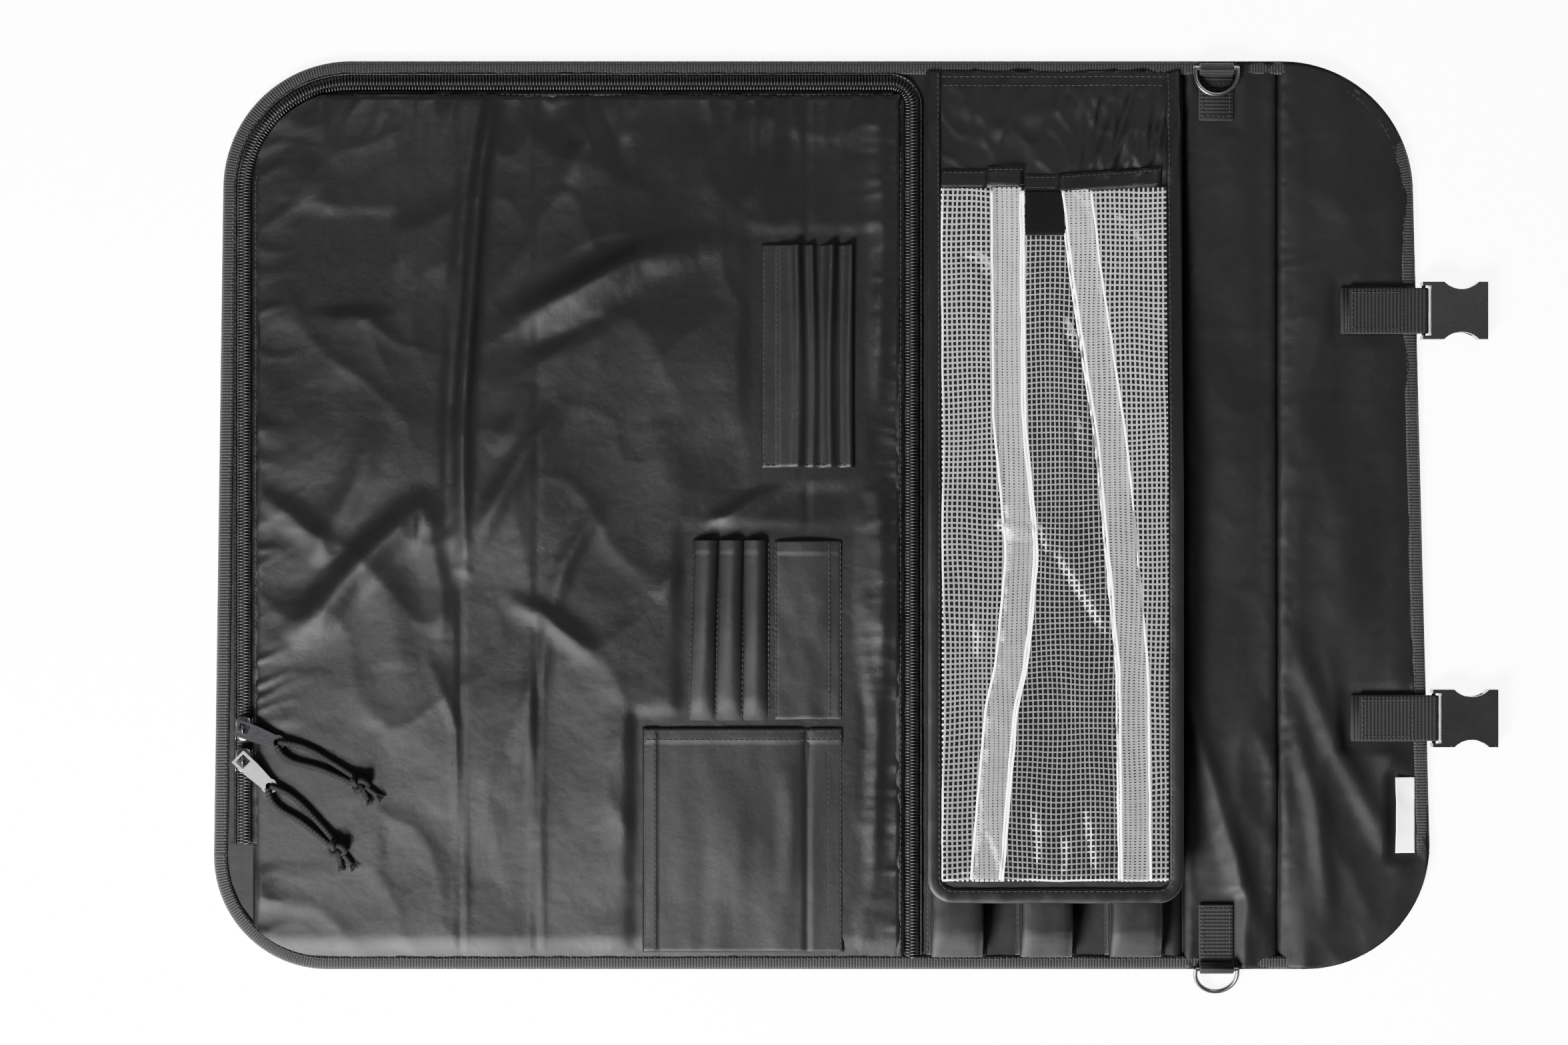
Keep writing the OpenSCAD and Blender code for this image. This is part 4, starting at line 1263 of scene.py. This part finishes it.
def net(name, x0, x1, width, phase, lift, keep, material, *nodes):
    """Crossing yarns over part of the mesh area."""
    build = Build()
    for xv in np.arange(x0 + phase * PITCH_X, x1, PITCH_X):
        yv = np.arange(MY0, MY1 + 0.5, 1.5)
        xx = xv + 0.25 * noise(yv / 19, xv / 3 + 0 * yv, 99) + 1.6 * noise(xv / 34 + 0 * yv, yv / 70, 105)
        zz = page_top(xx, yv) + relief(xx, yv) + lift + 0.1 * np.sin(yv * 2.094)
        yarn(build, np.column_stack([xx, yv, zz]), (1, 0), width, keep)
    for yv in np.arange(MY0 + phase * PITCH_Y, MY1, PITCH_Y):
        xx = np.arange(x0, x1 + 0.3, 1.3)
        yy = yv + 0.2 * noise(xx / 17, yv / 3 + 0 * xx, 100) + 1.8 * noise(xx / 30, yv / 40 + 0 * xx, 106)
        yarn(build, np.column_stack([xx, yy, page_top(xx, yy) + relief(xx, yy) + lift]), (0, -1), width, keep)
    verts, faces, _, _ = build.data()
    place(add_mesh(name, verts, faces, material, smooth_shade=False), "page", "mesh", *nodes)


MID = 101.0
net("page_net_left", MX0, MID, 1.0, 0.3, 0, lambda x, y: (~in_pleat(x, y)) & (x < MID), NET, "page_mesh_left")
net("page_net_right", MID, MX1, 1.0, 0.3, 0, lambda x, y: (~in_pleat(x, y)) & (x >= MID), NET, "page_mesh_right")
# The sunk pleat's yarn: the white yarn painted darker as shade
net("page_net_pleat", 76, 146, 0.8, 0.3, 0, in_pleat, NET_SHADED, "page_pleat_band")
net("page_net_band_left", 60, 102, 0.95, 0.8, 0.35, in_left_band, NET)
net("page_net_band_right", 108, 162, 0.95, 0.8, 0.35, in_right_band, NET)

# The folded edges of the bands, where the net doubles back on itself
folds = Build()
yv = np.arange(MY0 + 1, MY1 - 0.5, 2.0)
for band, shift in [(BAND_LEFT, -q) for q in (0.0, 1.5, BAND_W)] + [(BAND_RIGHT, q) for q in (0.0, 1.5, BAND_W)]:
    xx = edge_line(band, yv)
    for _ in range(6):
        xx[1:-1] = (xx[:-2] + 2 * xx[1:-1] + xx[2:]) / 4
    xx = xx + shift + 0.35 * noise(yv / 14, yv * 0 + shift, 107)
    zz = page_top(xx, yv) + relief(xx - 0.8 * np.sign(shift + 0.01), yv) + 0.7
    folds.add(*tube_mesh(np.column_stack([xx, yv, zz]), 0.62, 8))
verts, faces, _, _ = folds.data()
place(add_mesh("page_net_folds", verts, faces, NET), "page", "mesh")

# Clear film over the net, crumpled where it catches the light
FILM_TOP, FILM_SPARE = 22.85, 1.3
FILM_CREASES = [
    ([(112, 112), (117, 102), (121, 90)], 2.2, 1.6), ([(106, -10), (118, -30), (136, -58)], 1.8, 1.8),
    ([(74, 4), (86, -4), (97, -8)], 1.8, 1.7), ([(92, 4), (99, -2), (104, -14)], 1.6, 1.6),
    ([(62, -46), (66, -60), (65, -74)], 2.2, 1.4), ([(70, -158), (76, -172), (80, -186)], 1.8, 1.6),
    ([(96, -150), (99, -166), (98, -184)], 1.8, 1.5), ([(112, -164), (114, -176), (112, -188)], 1.8, 1.6),
    ([(124, -150), (127, -170), (130, -186)], 1.8, 1.5), ([(56, 150), (68, 144), (74, 132)], 2.4, 1.2),
    ([(118, 60), (121, 44), (118, 30)], 2.0, 1.3), ([(150, 20), (154, -20), (156, -60)], 2.4, 1.2),
]
x, y = smart_grid(MX0, MX1, MY0, MY1, 1.3)
z = page_top(x, y) + relief(x, y) + 0.7
z += 0.2 * noise(x / 16, y / 30, 101) + 0.3 * ridge(x / 30 + y / 70, y / 55, 102, 1.5)
for line, width, height in FILM_CREASES:
    z += crease(x, y, line, width, height)
film = place(grid_mesh("page_film", x, y, np.minimum(z, FILM_TOP), FILM), "page", "mesh")

# Hems across the top of the net
trims = Build()
for x0, x1, ya, yb, lift in (
    (MX0, 71.6, (184.0, 184.0), (194.2, 194.2), 1.5),
    (71.2, 91.0, (184.2, 184.2), (195.6, 195.6), 2.6),
    (91.2, 110.8, (182.9, 182.9), (191.6, 191.6), 0.8),
    (110.6, 166.0, (181.4, 185.0), (191.6, 195.6), 2.2),
):
    nx, ny = max(int((x1 - x0) / 1.5), 6), 8
    s, t = np.meshgrid(np.linspace(0, 1, nx), np.linspace(0, 1, ny), indexing="ij")
    x = x0 + (x1 - x0) * s
    y = (ya[0] + (ya[1] - ya[0]) * s) * (1 - t) + (yb[0] + (yb[1] - yb[0]) * s) * t
    rim = np.minimum(np.minimum(s, 1 - s) * (x1 - x0), np.minimum(t, 1 - t) * 10)
    z = page_top(x, y) + 0.2 + lift * smooth(-0.6, 0.9, rim) + 0.2 * noise(x / 5, y / 5, 103)
    trims.add(points(x, y, z), grid_faces(nx, ny), points(x, y, z)[:, :2] / 10)
    for yy in (ya[0] + 1.6, yb[0] - 1.6):
        slope = (ya[1] - ya[0]) / (x1 - x0)
        xx = np.linspace(x0 + 0.8, x1 - 0.8, 30)
        yv = yy + slope * (xx - x0)
        stitches(sewn, np.column_stack([xx, yv, page_top(xx, yv) + 0.15 + lift]), pitch=2.8, length=2.0, width=0.42)
verts, faces, uv, _ = trims.data()
place(add_mesh("page_mesh_hems", verts, faces, SHINY, uv), "page", "page_cloth", "page_mesh_trim")
verts, faces, _, _ = sewn.data()
place(add_mesh("page_stitching", verts, faces, THREAD), "page", "page_cloth")

# Hook tab under the recessed hem
hx0, hx1, hy0, hy1 = area = 92.2, 114.2, 158.5, 183.0
x, y = smart_grid(*area, 1.0)
rim = np.minimum(np.minimum(x - hx0, hx1 - x), np.minimum(y - hy0, hy1 - y))
z = page_top(x, y) + 0.9 + 1.0 * smooth(-0.4, 0.8, rim) + 0.3 * noise(x / 9, y / 9, 104)
place(grid_mesh("page_hook_tape", x, y, z, HOOK), "page", "hook_tape", "page_hook_tab")

# ---------------------------------------------------------------- webbing, label and hardware


def strap_piece(node, path, width, thick, across, body, seed):
    """A webbing strap swept along a path. across is the unit direction of its width."""
    p = spline(path, max(len(path) * 9, 60))
    d = np.gradient(p, axis=0)
    d /= np.linalg.norm(d, axis=1)[:, None]
    a = np.asarray(across, float)
    up = np.cross(d, a)
    run = run_along(p)
    half, h = width / 2, thick / 2
    section = [(-half, 0), (-half + 0.35, h * 0.85), (-half + 1.2, h)]
    section += [(w, h) for w in np.linspace(-half + 3, half - 3, 8)]
    section += [(half - 1.2, h), (half - 0.35, h * 0.85), (half, 0)]
    section += [(half - 0.35, -h * 0.85), (-half + 0.35, -h * 0.85)]
    verts, uv = [], []
    for i in range(len(p)):
        for w, hh in section:
            wobble = 0.12 * noise(run[i] / 6, w / 6, 110 + seed) * (hh > 0)
            verts.append(p[i] + a * w + up[i] * (hh + wobble))
            uv.append((run[i] / 10, w / 10))
    n = len(section)
    faces = grid_faces(len(p), n, wrap=True).tolist()
    faces += [list(range(n)), list(range((len(p) - 1) * n, len(p) * n))[::-1]]
    place(add_mesh(f"{node}_webbing", verts, faces, WEBBING, uv), body, "webbing", node)


def stitch_box(node, x0, x1, y0, y1, z, body):
    """A box of four stitch lines on a tab or strap."""
    lines = [[(x0, y, z), (x1, y, z)] for y in (y0, y1)] + [[(x, y0, z), (x, y1, z)] for x in (x0, x1)]
    stitch_piece(f"{node}_stitching", lines, body, "webbing", 2.6, 1.95, 0.5)


def turn_round(r, angles):
    """Points of a loop round an axis, as offsets ahead and up, from straight below it."""
    return [(r * math.sin(math.radians(a)), -r * math.cos(math.radians(a))) for a in angles]


for which, sign, tail in (("top", -1, 28), ("bottom", 1, 35)):
    cx, cy, cz = joint_mm(f"ring_{which}_swing")
    node, r = f"ring_tab_{which}", 2.25
    path = [(cx, cy + sign * q, cz - r - 0.05) for q in (tail, tail * 0.7, tail * 0.4, 6, 2)]
    path += [(cx, cy - sign * q, cz + up) for q, up in turn_round(r, (0, 40, 80, 120, 160, 200))]
    path += [(cx, cy + sign * 1.9, cz + 0.9), (cx, cy + sign * 2.6, cz - 0.2), (cx, cy + sign * 3.6, cz - 1.05)]
    strap_piece(node, path, 18.5, 1.15, (1, 0, 0), "ring_strip", ord(which[0]))
    stitch_box(node, cx - 7.4, cx + 7.4, cy + sign * 8.5, cy + sign * (tail - 2), cz - r + 0.62, "ring_strip")

for which in ("upper", "lower"):
    cx, cy, cz = joint_mm(f"buckle_{which}_tilt")
    node, r = f"buckle_strap_{which}", 2.15
    x0, _, y0, y1 = bounds_mm(node)
    path = [(x0, 4.75), (x0 + 10, 4.75), (x0 + 20, 4.72), (x0 + 32, 4.3), (cx - 6, 2.9), (cx - 2, cz - r)]
    path += [(cx + q, cz + up) for q, up in turn_round(r, (15, 50, 90, 130, 165))]
    path += [(cx - 2.5, cz + r - 0.1), (cx - 7, cz + 1.75), (x0 + 26, 6.15), (x0 + 14, 6.1), (x0 + 4, 6.05)]
    strap_piece(node, [(px, cy, pz) for px, pz in path], y1 - y0, 1.25, (0, -1, 0), "flap", ord(which[0]))
    half = (y1 - y0) / 2 - 2.6
    stitch_box(node, x0 + 6, cx - 12, cy - half, cy + half, 6.78, "flap")

x, y, u, v, _ = panel_grid(bounds_mm("care_label"), 0.8)
z = 4.2 + 3.2 * (1 - u) ** 2 * (0.5 + 0.5 * np.sin(math.pi * v)) + 0.5 * noise(x / 7, y / 9, 120)
z += 0.8 * np.sin(math.pi * v) * (1 - u)
label = grid_mesh("care_label_cloth", x, y, z, LABEL)
thicken(label, LABEL_T)
place(label, "flap", "label", "care_label")

# Hard parts keep their CAD shape; the width is their edges' rounding
for name, material, width in (
    ("pull_tab_upper", BLACK_NICKEL, 0.35), ("pull_tab_lower", NICKEL, 0.3),
    ("d_ring_top", BLACK_NICKEL, 0), ("d_ring_bottom", BLACK_NICKEL, 0),
    ("buckle_upper", BUCKLE, 0.8), ("buckle_lower", BUCKLE, 0.8),
):
    obj = frame["nodes"][name]
    obj.data.materials.clear()
    obj.data.materials.append(material)
    if width:
        bevel = obj.modifiers.new("edges", "BEVEL")
        bevel.width = width * MM
        bevel.segments = 3
        bevel.limit_method = "ANGLE"

# ---------------------------------------------------------------- zip sliders

# The top plate's rings: share of its width, and height
PLATE = [
    (0.0, 7.75), (0.35, 7.72), (0.65, 7.6), (0.86, 7.4), (0.96, 7.1), (1.0, 6.75), (0.97, 6.4), (0.9, 6.22), (0.0, 6.2)
]
PLATE_POWER, PLATE_HALF = 0.62, 4.5  # squareness of its outline, half its width
for which in ("upper", "lower"):
    cx, cy, _ = joint_mm(f"pull_{which}_lift")
    _, _, y0, y1 = bounds_mm(f"slider_{which}")
    half_l = (y1 - y0) / 2
    body = Build()
    # Crowned top plate, wider at the end that parts the teeth
    a = np.linspace(0, 2 * math.pi, 48, endpoint=False)
    ex = np.sign(np.cos(a)) * np.abs(np.cos(a)) ** PLATE_POWER
    ey = np.sign(np.sin(a)) * np.abs(np.sin(a)) ** PLATE_POWER
    width = PLATE_HALF * (1 - 0.16 * (1 - ey) / 2)
    rings = [
        np.column_stack([cx + width * ex * r, cy + half_l * 0.96 * ey * r, np.full(len(a), z)]) for r, z in PLATE
    ]
    body.add(np.vstack(rings), grid_faces(len(rings), len(a), wrap=True, flip=True))
    # Side flanges that close round the tape
    for side in (cx - PLATE_HALF, cx + PLATE_HALF):
        path = [(side, cy + q, 5.95) for q in np.linspace(-half_l * 0.85, half_l * 0.85, 12)]
        body.add(*tube_mesh(path, [0.2] + [0.42] * 10 + [0.2], 12))
    # Bail that holds the pull
    t = np.linspace(0, math.pi, 24)
    arch = [(cx, cy - 2.1 * math.cos(q), 7.4 + 3.5 * math.sin(q) ** 0.5) for q in t]
    body.add(*tube_mesh(arch, 0.6, 12))
    verts, faces, _, _ = body.data()
    obj = add_mesh(f"slider_{which}_body", verts, faces, BLACK_NICKEL)
    place(obj, f"slider_{which}", "nickel", f"slider_{which}")
